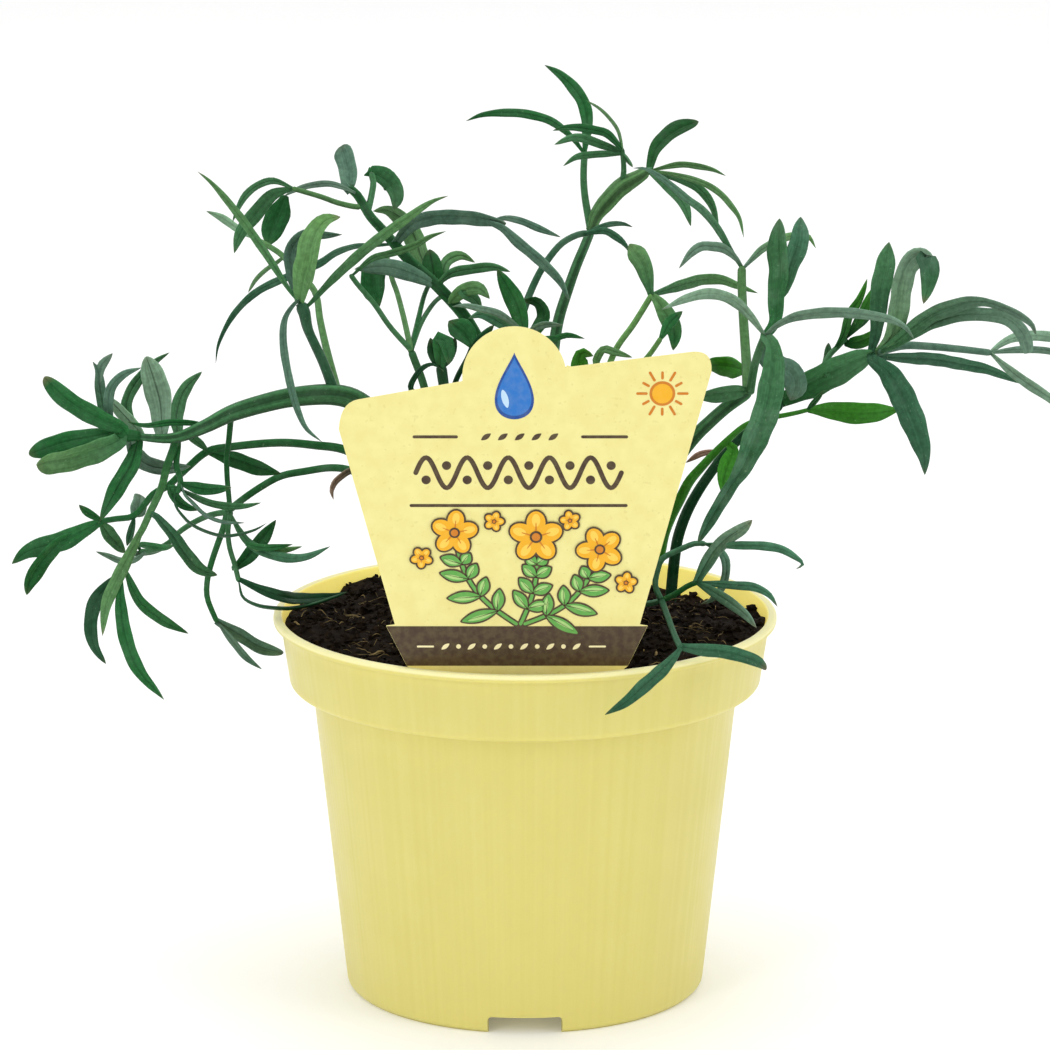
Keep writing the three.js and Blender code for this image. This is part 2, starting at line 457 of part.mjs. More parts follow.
      [2, [-8, -12, -8], [[51.5, 60.9], [49, 65], [45, 71.4], [41.8, 75], [38.6, 77.3],
        [32.3, 82.5], [28.3, 84.7], [25.7, 84.8]]],
      [2.2, [-9, -16], [[49.9, 63.6], [47, 65.8], [44.6, 66.2], [41.8, 66.2], [39.4, 64.6],
        [36.6, 61]]],
      [2, [-8, 2], [[51.6, 60.6], [53.7, 63], [56.1, 65.4], [58.1, 66.6], [62.9, 68.6],
        [67.2, 68.6], [69.1, 65.8]]],
      [5, [-12, -2], [[52.6, 36.5], [48, 37.8], [44.5, 37.9], [42.5, 37.5]]],
    ],
  },
  leaf_right_dark: {
    finish: 'leaf_dark', grows_on: ['stem_right'],
    stalks: [],
    blades: [[4, [-14, -20], [[53.4, 31.8], [50, 31.7], [46, 31.2], [40.5, 30.5]]]],
  },
  leaf_right_grey: {
    finish: 'leaf_grey', grows_on: ['stem_right'],
    stalks: [[[2.1, 1.9, 1.8], [-15, -20, -23], [[53.5, 31.7], [54.6, 37.9], [55.8, 41.8],
      [57.2, 45.2]]]],
    blades: [
      [5.2, [-22, -14], [[57.2, 44.5], [59.5, 48.3], [59.9, 54.3], [60.6, 60], [60.2, 66],
        [60.5, 72.8]]],
      [4.4, [-17, -10], [[61, 55], [63, 62], [64.8, 67], [65.5, 73.2]]],
      [2.6, [-23, -34], [[57, 44.9], [53.8, 49.4], [51.1, 52.2], [47.9, 54.2], [43.5, 55],
        [38.6, 53.9], [32.5, 51.2]]],
      [2.6, [-23, -32, -34], [[57.4, 45.2], [59.8, 47.4], [63.8, 49.4], [69.7, 50.4], [75.7, 50.6],
        [81.7, 50], [87.8, 48.6], [90.6, 46.8], [92.5, 44.1]]],
      [5.9, [-24, -33, -28], [[57.2, 44.6], [58.6, 43], [59, 38.3], [58.3, 32.3], [57, 26.3],
        [54.4, 20], [51.7, 13.7], [48.4, 8.5], [45.3, 3.5], [42.4, -1.6], [41.2, -4]]],
      [5.6, [-22, -14, -10], [[57.4, 44.2], [57.8, 40.5], [60, 37.9], [63.4, 35.9], [64.3, 33],
        [63.1, 29.6]]],
    ],
  },
  leaf_back_small: {
    finish: 'leaf_green', grows_on: ['stem_back_right'],
    stalks: [[[1.5, 1.2], [9, 16], [[71, 37.4], [72.5, 40.5], [74, 42], [76.3, 44.4]]]],
    blades: [
      [2, [9, 16], [[71.8, 37], [72, 40], [72.1, 43.3]]],
      [2, [12, 22], [[73.5, 41.5], [75.5, 45], [77, 50], [79, 53], [80.4, 56], [81.3, 58.5]]],
      [2.4, [16, 20], [[76.2, 44.3], [79, 48], [81.5, 53], [83.5, 57.5]]],
      [3.4, [16, 12], [[76.3, 43.3], [79.8, 43.7], [82.9, 45.3], [85, 47.6]]],
      [2, [16, 24], [[76.2, 44.3], [78.5, 47], [82.5, 50]]],
    ],
  },
  leaf_back_upright: {
    finish: 'leaf_dark', grows_on: ['stem_back_right'],
    stalks: [],
    blades: [[4.9, [6, -2, 4], [[82, 40.6], [83.3, 45], [83.9, 50], [84.5, 56], [85.5, 61], [86.5, 67.2]]]],
  },
  leaf_back_curled: {
    finish: 'leaf_grey', grows_on: ['stem_back_right'],
    stalks: [],
    blades: [
      [4.6, [5, -4, -11], [[84.5, 41.4], [87.2, 45], [88.7, 52], [89.4, 57.2], [90.8, 61.6],
        [93, 63.8], [96.6, 63.7]]],
      [5.2, [-11, -9], [[94.8, 63.8], [96, 61.4], [95.8, 57.2], [94.7, 52.6]]],
    ],
  },
  leaf_back_forked: {
    finish: 'leaf_dark', grows_on: ['stem_back_right'],
    stalks: [],
    blades: [
      [3.4, [5, -8, -16], [[84.5, 41.4], [87.5, 43.2], [92, 46.8], [96.5, 49.9], [101.4, 51.9],
        [105.3, 53], [109, 53.1], [113.5, 51.8], [117.4, 50], [120.5, 47.6], [121.4, 45.4]]],
      [3.3, [5, -6, -12], [[84.5, 41.2], [87.5, 42.7], [92, 45.4], [96.5, 47.9], [101.4, 49.4],
        [105.3, 50.1], [109, 50], [113.5, 49.4], [116.5, 47.6], [118.6, 44.8], [119.6, 40.9]]],
    ],
  },
  leaf_back_long: {
    finish: 'leaf_grey', grows_on: ['stem_back_right'],
    stalks: [[[2, 1.8, 1.6], [5, 14, 20], [[84.5, 41.6], [90, 42.6], [95, 42.5], [103, 41.8],
      [110.8, 40.9]]]],
    blades: [
      [2.6, [20, 30], [[110.3, 40.9], [113, 43], [116, 44.5], [120, 45], [125, 44.7], [133, 42.6]]],
      [1.9, [20, 24], [[110.5, 40.8], [115, 41.4], [119, 41.6], [124.6, 41.2], [131, 39.4]]],
      [2.2, [20, 12], [[110.6, 40.6], [115, 37], [119, 34], [124.6, 30.3], [130, 25.8]]],
    ],
  },
  leaf_back_straight: {
    finish: 'leaf_dark', grows_on: ['stem_back_right'],
    stalks: [],
    blades: [[3.2, [6, 26, 40], [[83.5, 40.4], [90, 39.8], [97, 39.5], [104, 38.3], [110, 37],
      [115, 35], [119, 33.4]]]],
  },
  leaf_back_down: {
    finish: 'leaf_dark', grows_on: ['stem_back_right'],
    stalks: [],
    blades: [[6, [3, -8, -14], [[82.5, 39.4], [86, 36.5], [89, 32], [91.5, 26.5], [93.5, 21],
      [94.8, 16], [95, 12]]]],
  },
  leaf_right_bright: {
    finish: 'leaf_green', grows_on: ['crown_right'],
    stalks: [[[2.8, 2.7, 2.4, 1.4, 1], [9, 4, 0, 2, 4], [[22.8, -18], [28, -13], [31.5, -8], [33, -2],
      [34.6, 2], [36.7, 6], [39, 10.4], [42.1, 14], [45.3, 17.4], [49, 21], [52, 23.5], [56, 25.2],
      [60.5, 25.9], [65, 26.8], [67.7, 27.5]]]],
    blades: [
      [5.2, [4, 12], [[67.2, 27.4], [73, 27], [78, 26.5], [83, 26.7], [89, 27.4]]],
      [1.4, [4, -2], [[67, 27.3], [69, 29.6], [71, 32]]],
      [4, [1, -6], [[49.3, 18], [48, 14], [47.2, 11], [46.9, 7.4]]],
      [1.5, [3, 5], [[44.6, 17.4], [41.6, 16.8], [38.2, 14.8]]],
    ],
  },
  leaf_low_right: {
    finish: 'leaf_dark', grows_on: ['crown_right'],
    stalks: [
      [[1.8, 1.6, 1.4], [7, -2, -12], [[23, -18.5], [29, -18.8], [32.5, -18]]],
      [[1.4, 1.3], [-12, -18], [[32.5, -18], [31, -14.5], [31.6, -10.5], [32.6, -8.1], [36.5, -6],
        [40.5, -4.4], [43, -4.5]]],
      [[1.4, 1.3], [-12, -16], [[32.5, -18], [36, -16.2], [39, -14.3], [41, -13.6]]],
    ],
    blades: [
      [2.1, [-18, -34], [[42, -4.5], [47, -4.8], [52, -4.8], [57, -5], [61, -5.8], [64, -7.5],
        [66, -9.3], [64.4, -10.5]]],
      [2.2, [-18, -10, -8], [[43, -4.5], [46, -6], [47.5, -8.5], [47.5, -12], [46.3, -15.5],
        [44.5, -17.6], [41.8, -18.8]]],
      [3, [-16, -26], [[40.5, -13.7], [42.5, -10], [45, -6], [48, -3], [51, -1], [54, 1.2]]],
      [2.1, [-16, -14], [[41, -13.6], [45, -14], [50, -14.4], [54.5, -14.8], [58, -16.6],
        [60, -19.4]]],
      [2.8, [-16, -24], [[40.8, -13.8], [45, -16], [49, -18.5], [52.5, -21.3], [55, -24.4]]],
    ],
  },
  leaf_over_rim: {
    finish: 'leaf_dark', grows_on: ['leaf_low_right'],
    stalks: [[[1.5, 1.4], [-12, -30, -46], [[32.7, -18.3], [34, -22], [35.5, -26], [37, -29.3]]]],
    blades: [
      [3, [-45, -40], [[36.9, -29.2], [42, -29.7], [47, -30.1], [52, -31.3], [56, -33],
        [57.3, -34.4]]],
      [3.2, [-46, -58, -60], [[36.9, -29.4], [34.5, -32.5], [31.5, -35.5], [28, -38.5], [24, -42],
        [19, -45.1]]],
    ],
  },
};
const IN_SOIL = ['crown_left', 'crown_centre', 'crown_right', 'stem_back_right'];

// Solids: a closed indexed geometry goes in, the joined or cut shape comes back out
function solid(geometry) {
  const bare = geometry.clone();
  bare.deleteAttribute('normal');
  bare.deleteAttribute('uv');
  const merged = mergeVertices(bare, 1e-4);
  const mesh = new wasm.Mesh({
    numProp: 3,
    vertProperties: Float32Array.from(merged.attributes.position.array),
    triVerts: Uint32Array.from(merged.index.array),
  });
  return new wasm.Manifold(mesh);
}

function geometryOf(body) {
  const mesh = body.getMesh();
  const geometry = new THREE.BufferGeometry();
  geometry.setAttribute('position', new THREE.BufferAttribute(mesh.vertProperties, 3));
  geometry.setIndex(new THREE.BufferAttribute(mesh.triVerts, 1));
  geometry.computeVertexNormals();
  return geometry;
}

function largest(body) {
  const pieces = body.decompose().sort((a, b) => b.volume() - a.volume());
  return pieces[0];
}

// Plant layout
function place(across, up, away) {
  const spread = 1 + away / VIEW_DISTANCE;
  const point = new THREE.Vector3(0, 0, VIEW_HEIGHT);
  point.addScaledVector(ACROSS, across * spread);
  point.addScaledVector(UPWARD, up * spread);
  return point.addScaledVector(AWAY, away);
}

function along(values, t) {
  const at = t * (values.length - 1);
  const low = Math.min(Math.floor(at), values.length - 2);
  return THREE.MathUtils.lerp(values[low], values[low + 1], at - low);
}

function centreLine(away, points) {
  const lengths = [0];
  for (let i = 1; i < points.length; i += 1) {
    const [dx, dy] = [points[i][0] - points[i - 1][0], points[i][1] - points[i - 1][1]];
    lengths.push(lengths[i - 1] + Math.hypot(dx, dy));
  }
  const total = lengths[lengths.length - 1];
  return points.map(([across, up], i) => place(across, up, along(away, lengths[i] / total)));
}

// The point on the given centre-lines nearest to a base, where a stalk or blade takes root
function nearestOn(lines, base) {
  let best = null;
  for (const line of lines) {
    for (let i = 1; i < line.length; i += 1) {
      const foot = new THREE.Line3(line[i - 1], line[i]).closestPointToPoint(base, true, new THREE.Vector3());
      if (!best || foot.distanceTo(base) < best.distanceTo(base)) {
        best = foot;
      }
    }
  }
  return best;
}

function rooted(line, lines) {
  const root = nearestOn(lines, line[0]);
  if (!root) {
    return line;
  }
  const rest = root.distanceTo(line[0]) < BURY ? line.slice(1) : line;
  return [root, ...rest];
}

// A closed tube of rings along a curve, each ring a list of points, with both ends filled
function closedSweep(rings) {
  const sides = rings[0].length;
  const positions = [];
  for (const ring of rings) {
    for (const point of ring) {
      positions.push(point.x, point.y, point.z);
    }
  }
  const index = [];
  for (let r = 0; r + 1 < rings.length; r += 1) {
    for (let s = 0; s < sides; s += 1) {
      const [a, b] = [r * sides + s, r * sides + (s + 1) % sides];
      index.push(a, b, b + sides, a, b + sides, a + sides);
    }
  }
  const last = (rings.length - 1) * sides;
  for (let s = 1; s + 1 < sides; s += 1) {
    index.push(0, s + 1, s, last, last + s, last + s + 1);
  }
  const geometry = new THREE.BufferGeometry();
  geometry.setAttribute('position', new THREE.Float32BufferAttribute(positions, 3));
  geometry.setIndex(index);
  const body = solid(geometry);
  if (body.volume() > 0) {
    return body;
  }
  geometry.setIndex(index.reverse());
  return solid(geometry);
}

// Points, directions and sideways vectors at even steps along a centre-line. The first one is set
// back into what carries it, and growing a part lengthens it at both ends.
function stations(line, grow) {
  const curve = new THREE.CatmullRomCurve3(line, false, 'centripetal');
  const length = curve.getLength();
  const steps = Math.max(3, Math.round(length / STEP_LENGTH));
  const points = curve.getSpacedPoints(steps);
  return points.map((point, i) => {
    const before = points[Math.max(0, i - 1)];
    const after = points[Math.min(steps, i + 1)];
    const direction = after.clone().sub(before).normalize();
    const side = direction.clone().cross(AWAY).normalize();
    let shift = 0;
    if (i === 0) {
      shift = -BURY / 2 - grow;
    } else if (i === steps) {
      shift = grow;
    }
    return { point: point.clone().addScaledVector(direction, shift), direction, side, t: i / steps };
  });
}

function stalk(diameters, line, grow) {
  const rings = stations(line, grow).map(({ point, direction, side, t }) => {
    const radius = along(diameters, t) / 2 + grow;
    const front = side.clone().cross(direction);
    return Array.from({ length: STALK_SIDES }, (_, k) => {
      const angle = (k / STALK_SIDES) * 2 * Math.PI;
      const rim = side.clone().multiplyScalar(Math.cos(angle)).addScaledVector(front, Math.sin(angle));
      return point.clone().addScaledVector(rim, radius);
    });
  });
  return closedSweep(rings);
}

// How wide a blade is along its length, as a share of its full width
function outline(t) {
  const { base, widest, narrows, tip } = BLADE_SHAPE;
  const opening = base + (1 - base) * Math.sin(Math.min(1, t / widest) * Math.PI / 2);
  const closing = Math.cos(Math.max(0, (t - narrows) / (1 - narrows)) * Math.PI / 2);
  return opening * Math.max(tip, closing);
}

function blade(width, line, order, grow) {
  const edgeOn = width < NARROW_LEAF;
  const roll = edgeOn ? EDGE_ON_ROLL : ROLL_STEPS[order % ROLL_STEPS.length];
  const fullWidth = edgeOn ? EDGE_ON_WIDTH : width / Math.cos(roll);
  const rings = stations(line, grow).map(({ point, direction, side, t }) => {
    const across = side.clone().applyAxisAngle(direction, roll);
    const through = across.clone().cross(direction);
    const halfWidth = outline(t) * fullWidth / 2 + grow;
    const halfThick = LEAF_THICKNESS / 2 * Math.max(BLADE_SHAPE.edge, outline(t)) + grow;
    return [
      point.clone().addScaledVector(across, halfWidth),
      point.clone().addScaledVector(through, halfThick),
      point.clone().addScaledVector(across, -halfWidth),
      point.clone().addScaledVector(through, -halfThick),
    ];
  });
  return closedSweep(rings);
}

// Centre-lines of a plant part, each one starting on the part or the parent that it grows from
function linesOf(name) {
  const part = PLANT[name];
  const parents = part.grows_on.flatMap((parent) => {
    const { stalks, sheaths } = linesOf(parent);
    return [...stalks, ...sheaths];
  });
  const stalks = [];
  for (const [, away, points] of part.stalks) {
    stalks.push(rooted(centreLine(away, points), stalks.length ? stalks : parents));
  }
  const sheaths = (part.sheaths ?? []).map(([, away, points]) => centreLine(away, points));
  const bladeRoots = stalks.length ? [...stalks, ...sheaths] : parents;
  const blades = [];
  for (const [, away, points] of part.blades) {
    const line = centreLine(away, points);
    const root = nearestOn(bladeRoots, line[0]);
    const forks = root && root.distanceTo(line[0]) > FORK_REACH ? blades : [];
    blades.push(rooted(line, [...bladeRoots, ...forks]));
  }
  return { stalks, sheaths, blades };
}

function grown(name, grow) {
  const part = PLANT[name];
  const lines = linesOf(name);
  const bodies = [
    ...part.stalks.map(([diameters], i) => stalk(diameters, lines.stalks[i], grow)),
    ...(part.sheaths ?? []).map(([width], i) => blade(width, lines.sheaths[i], 0, grow)),
    ...part.blades.map(([width], i) => blade(width, lines.blades[i], i + name.length, grow)),
  ];
  return bodies.reduce((whole, body) => whole.add(body));
}

// A part is cut clear of what it grows on and of the parts listed before it that grow there too
function plantBody(name) {
  const [parent] = PLANT[name].grows_on;
  const names = Object.keys(PLANT);
  const elders = names.slice(0, names.indexOf(name)).filter((other) => PLANT[other].grows_on[0] === parent);
  const neighbours = parent ? [parent, ...elders] : [];
  const cut = neighbours.reduce((body, other) => body.subtract(grown(other, GAP)), grown(name, 0));
  return largest(cut);
}

// Pot
function potBody() {
  const innerFoot = BODY_FOOT_RADIUS - WALL;
  const lipFoot = POT_HEIGHT - LIP_HEIGHT;
  const profile = [
    [0, 0], [PAD_RADIUS, 0], [PAD_RADIUS + WALL, FLOOR_Z], [innerFoot, FLOOR_Z], [innerFoot, 0],
    [BODY_FOOT_RADIUS - FOOT_EDGE / 2, 0], [BODY_FOOT_RADIUS, FOOT_EDGE],
    [BODY_TOP_RADIUS, COLLAR_FOOT_Z - STEP_EDGE], [COLLAR_FOOT_RADIUS - WALL, COLLAR_FOOT_Z - STEP_EDGE],
    [COLLAR_FOOT_RADIUS, COLLAR_FOOT_Z + STEP_EDGE], [COLLAR_TOP_RADIUS, lipFoot],
    [LIP_RADIUS - LIP_EDGE, lipFoot], [LIP_RADIUS, lipFoot + LIP_HEIGHT / 2],
    [LIP_RADIUS - LIP_EDGE, POT_HEIGHT], [LIP_INNER_RADIUS + LIP_EDGE, POT_HEIGHT],
    [LIP_INNER_RADIUS, POT_HEIGHT - LIP_EDGE], [COLLAR_TOP_RADIUS - WALL, lipFoot - LIP_EDGE],
    [COLLAR_FOOT_RADIUS - WALL, COLLAR_FOOT_Z + WALL], [BODY_TOP_RADIUS - WALL, COLLAR_FOOT_Z],
    [innerFoot + FLOOR_EDGE, FLOOR_Z + WALL + FLOOR_EDGE], [innerFoot - FLOOR_EDGE, FLOOR_Z + WALL],
    [PAD_RADIUS - FLOOR_EDGE, FLOOR_Z + WALL], [PAD_RADIUS - WALL, WALL], [0, WALL],
  ].map(([r, z]) => new THREE.Vector2(r, z));
  const lathe = new THREE.LatheGeometry(profile, POT_SIDES);
  lathe.rotateX(Math.PI / 2);
  let body = solid(lathe);
  for (let i = 0; i < NOTCH_COUNT; i += 1) {
    const notch = new THREE.BoxGeometry(NOTCH_WIDTH, NOTCH_REACH, FLOOR_Z * 2);
    notch.translate(0, -BODY_FOOT_RADIUS, 0);
    notch.rotateZ((i / NOTCH_COUNT) * 2 * Math.PI);
    body = body.subtract(solid(notch));
  }
  for (let i = 0; i < DRAIN_COUNT; i += 1) {
    const angle = ((i + 0.5) / DRAIN_COUNT) * 2 * Math.PI;
    const drain = new THREE.CylinderGeometry(DRAIN_RADIUS, DRAIN_RADIUS, 4 * WALL, DRAIN_SIDES);
    drain.rotateX(Math.PI / 2);
    drain.translate(DRAIN_CIRCLE * Math.cos(angle), DRAIN_CIRCLE * Math.sin(angle), FLOOR_Z);
    body = body.subtract(solid(drain));
  }
  return body;
}

// Soil
function soilTop(x, y) {
  return SOIL_MOUNDS.reduce((z, mound) => {
    const away = Math.hypot(x - mound.x, y - mound.y) / mound.spread;
    return z + mound.rise * Math.exp(-away * away);
  }, SOIL_EDGE_Z);
}

function soilBody() {
  const clear = WALL + GAP;
  const floor = FLOOR_Z + clear;
  const collarRadius = COLLAR_FOOT_RADIUS - clear + SOIL_FLARE;
  const profile = [
    [0, clear], [PAD_RADIUS - 2 * WALL, clear], [PAD_RADIUS - WALL, floor],
    [BODY_FOOT_RADIUS - clear - SOIL_CORNER, floor], [BODY_FOOT_RADIUS - clear, floor + SOIL_CORNER],
    [BODY_TOP_RADIUS - clear - GAP, COLLAR_FOOT_Z + GAP],
    [COLLAR_FOOT_RADIUS - clear - GAP, COLLAR_FOOT_Z + clear + GAP], [collarRadius, SOIL_EDGE_Z],
  ];
  for (let i = 1; i <= SOIL_RINGS; i += 1) {
    profile.push([collarRadius * (1 - i / SOIL_RINGS), SOIL_EDGE_Z]);
  }
  const lathe = new THREE.LatheGeometry(profile.map(([r, z]) => new THREE.Vector2(r, z)), SOIL_SIDES);
  lathe.rotateX(Math.PI / 2);
  const at = lathe.attributes.position;
  for (let i = 0; i < at.count; i += 1) {
    const [x, y] = [at.getX(i), at.getY(i)];
    if (at.getZ(i) > SOIL_EDGE_Z - GAP) {
      at.setZ(i, soilTop(x, y));
    }
  }
  let body = solid(lathe);
  for (const name of IN_SOIL) {
    body = body.subtract(grown(name, GAP));
  }
  for (const play of CARD_SLOT_PLAY) {
    body = body.subtract(cardBody(GAP).translate(play));
  }
  return largest(body);
}

// Label card
function cardOutline() {
  const [left, right] = [CARD_LEFT, CARD_RIGHT];
  const card = new THREE.Shape();
  card.moveTo(...CARD_STAKE.tip);
  card.lineTo(CARD_STAKE.right, CARD_STAKE.shoulder);
  card.lineTo(CARD_BAND.footRight, CARD_BAND.foot);
  card.lineTo(CARD_BAND.right, CARD_BAND.top);
  card.lineTo(...right.foot);
  card.lineTo(...right.side);
  card.quadraticCurveTo(...right.corner, ...right.top);
  card.lineTo(TAB.x + TAB.radius, TAB.up + TAB.joint);
  card.absarc(TAB.x, TAB.up, TAB.radius, TAB_START, TAB_END, false);
  card.lineTo(...left.top);
  card.quadraticCurveTo(...left.corner, ...left.side);
  card.lineTo(...left.foot);
  card.lineTo(CARD_BAND.left, CARD_BAND.top);
  card.lineTo(CARD_BAND.footLeft, CARD_BAND.foot);
  card.lineTo(CARD_STAKE.left, CARD_STAKE.shoulder);
  return card;
}

function cardBody(grow) {
  const depth = CARD_THICKNESS + 2 * grow;
  const card = new THREE.ExtrudeGeometry(cardOutline(), { depth, bevelEnabled: false, curveSegments: 12 });
  card.translate(0, 0, -depth / 2);
  card.rotateX(Math.PI / 2 + CARD_LEAN);
  card.translate(0, CARD_FOOT.y, CARD_FOOT.z);
  return solid(card);
}

// Scene graph
const bodies = { pot: potBody(), soil: soilBody(), label_card: cardBody(0) };
const finishOf = { pot: 'pot_plastic', soil: 'soil_peat', label_card: 'label_card' };
for (const name of Object.keys(PLANT)) {
  bodies[name] = plantBody(name);
  finishOf[name] = PLANT[name].finish;
}

const pottedSamphire = new THREE.Group();
for (const [name, body] of Object.entries(bodies)) {
  const material = new THREE.MeshStandardMaterial({ ...FINISHES[finishOf[name]], metalness: 0 });
  const mesh = new THREE.Mesh(geometryOf(body), material);
  mesh.name = name;
  pottedSamphire.add(mesh);
}

export default pottedSamphire;
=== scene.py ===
# %% [markdown]
# # Rock samphire in a pale yellow herb pot
#
# This lesson gives the potted herb its looks. The measured frame comes first, and each of its parts is
# then replaced by a finer mesh in the same place: the moulded pot, the peat, the printed label, the stems
# and nearly forty sprays and leaves. Everything is drawn in code, so every size can be found by its name.

import math

import bpy
import numpy as np
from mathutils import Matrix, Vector, noise
from mathutils.geometry import tessellate_polygon


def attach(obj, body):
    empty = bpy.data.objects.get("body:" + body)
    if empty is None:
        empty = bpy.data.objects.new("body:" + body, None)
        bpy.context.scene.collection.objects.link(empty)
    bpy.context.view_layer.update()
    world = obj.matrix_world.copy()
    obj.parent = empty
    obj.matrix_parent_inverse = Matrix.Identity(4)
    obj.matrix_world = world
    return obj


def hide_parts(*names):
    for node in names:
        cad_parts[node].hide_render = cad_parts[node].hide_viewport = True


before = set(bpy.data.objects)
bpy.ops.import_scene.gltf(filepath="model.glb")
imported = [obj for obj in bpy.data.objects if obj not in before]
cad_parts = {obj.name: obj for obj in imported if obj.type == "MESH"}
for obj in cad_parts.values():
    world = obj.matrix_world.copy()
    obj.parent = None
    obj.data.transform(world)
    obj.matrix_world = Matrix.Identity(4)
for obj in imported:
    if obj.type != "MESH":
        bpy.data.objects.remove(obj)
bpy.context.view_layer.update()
MM = 0.001

# %% [markdown]
# ## The camera
#
# The pot's lip, collar and foot are circles, so the ellipses that they make in a picture tell how high
# the camera stood: 13.3 degrees above the table. A long lens from 1.2 metres keeps the upright lines of
# the pot nearly parallel, as in a product picture.

# %% Camera
VIEW_HEIGHT = 112.6
VIEW_DISTANCE = 1200
VIEW_TILT = math.radians(13.33)
VIEW_WIDTH = 249.5
SENSOR = 36

ACROSS = np.array([1.0, 0.0, 0.0])
UPWARD = np.array([0.0, math.sin(VIEW_TILT), math.cos(VIEW_TILT)])
AWAY = np.array([0.0, math.cos(VIEW_TILT), -math.sin(VIEW_TILT)])

scene = bpy.context.scene
camera = bpy.data.objects.new("camera", bpy.data.cameras.new("camera"))
scene.collection.objects.link(camera)
camera.data.sensor_width = SENSOR
camera.data.lens = SENSOR * VIEW_DISTANCE / VIEW_WIDTH
camera.location = Vector((0, 0, VIEW_HEIGHT * MM)) - Vector(AWAY) * VIEW_DISTANCE * MM
camera.rotation_euler = (math.pi / 2 - VIEW_TILT, 0, 0)
scene.camera = camera
print("lens", round(camera.data.lens, 1), "mm, camera at", [round(value, 3) for value in camera.location])

# %% [markdown]
# ## Materials as recipes
#
# A material is a small network of nodes. A few helpers keep the recipes short: they add a node, join up
# its inputs, mix colours, do sums and make reusable groups with named sockets. Colours are picked as they
# look on a screen, from 0 to 255, and turned into the linear values that the shader counts with.

# %% Colour and node helpers
def screen(red, green, blue):
    """A colour as seen on a screen, as the linear colour that a shader takes."""
    shares = [value / 255 for value in (red, green, blue)]
    linear = [share / 12.92 if share < 0.04045 else ((share + 0.055) / 1.055) ** 2.4 for share in shares]
    return (*linear, 1.0)


def feed(tree, socket, value):
    """Gives a socket a value, or joins it to another node's output socket."""
    if isinstance(value, bpy.types.NodeSocket):
        tree.links.new(value, socket)
    else:
        socket.default_value = value


def add_node(tree, kind, inputs=None, **settings):
    """Adds a shader node with its settings, and feeds its named inputs."""
    made = tree.nodes.new("ShaderNode" + kind)
    for name, value in settings.items():
        setattr(made, name, value)
    for name, value in (inputs or {}).items():
        feed(tree, made.inputs[name], value)
    return made


MIX_FACTOR, MIX_FIRST, MIX_SECOND, MIX_RESULT = 0, 6, 7, 2


def blend_colours(tree, factor, first, second):
    """Mixes two colours and returns the socket of the result."""
    made = add_node(tree, "Mix", data_type="RGBA")
    for place, value in ((MIX_FACTOR, factor), (MIX_FIRST, first), (MIX_SECOND, second)):
        feed(tree, made.inputs[place], value)
    return made.outputs[MIX_RESULT]


def reckon(tree, operation, *values):
    """One sum on numbers; returns the socket of the result."""
    made = add_node(tree, "Math", operation=operation)
    for socket, value in zip(made.inputs, values):
        feed(tree, socket, value)
    return made.outputs[0]


def fit_range(tree, value, low, high, new_low=0.0, new_high=1.0):
    """Stretches the part of a value between low and high, with soft ends."""
    made = add_node(tree, "MapRange", {"Value": value, "From Min": low, "From Max": high,
                                       "To Min": new_low, "To Max": new_high},
                    interpolation_type="SMOOTHSTEP")
    return made.outputs["Result"]


def new_group(name, inputs, outputs):
    """An empty node group with named sockets; returns its tree, its input node and its output node."""
    tree = bpy.data.node_groups.new(name, "ShaderNodeTree")
    for label, kind, value in inputs:
        socket = tree.interface.new_socket(name=label, in_out="INPUT", socket_type="NodeSocket" + kind)
        socket.default_value = value
    for label, kind in outputs:
        tree.interface.new_socket(name=label, in_out="OUTPUT", socket_type="NodeSocket" + kind)
    return tree, tree.nodes.new("NodeGroupInput"), tree.nodes.new("NodeGroupOutput")


def use_group(tree, group, inputs):
    """Places a group in a material, with its own values, and returns its output sockets."""
    return add_node(tree, "Group", inputs, node_tree=group).outputs


def new_material(name, **values):
    """A material with a Principled shader; values are set straight on its sockets."""
    material = bpy.data.materials.new(name)
    material.use_nodes = True
    tree = material.node_tree
    shader = tree.nodes["Principled BSDF"]
    for label, value in values.items():
        shader.inputs[label.replace("_", " ")].default_value = value
    return material, tree, shader


def bump(tree, shader, height, depth_mm):
    """Feeds a height to the shader as bumps, where a height of 1 is depth_mm high."""
    made = add_node(tree, "Bump", {"Height": height, "Strength": 1.0, "Distance": depth_mm * MM})
    tree.links.new(made.outputs["Normal"], shader.inputs["Normal"])


def vary_roughness(tree, shader, share, low, high):
    """Lets the roughness follow a share, from low to high."""
    tree.links.new(fit_range(tree, share, 0.0, 1.0, low, high), shader.inputs["Roughness"])


print("helpers ready")
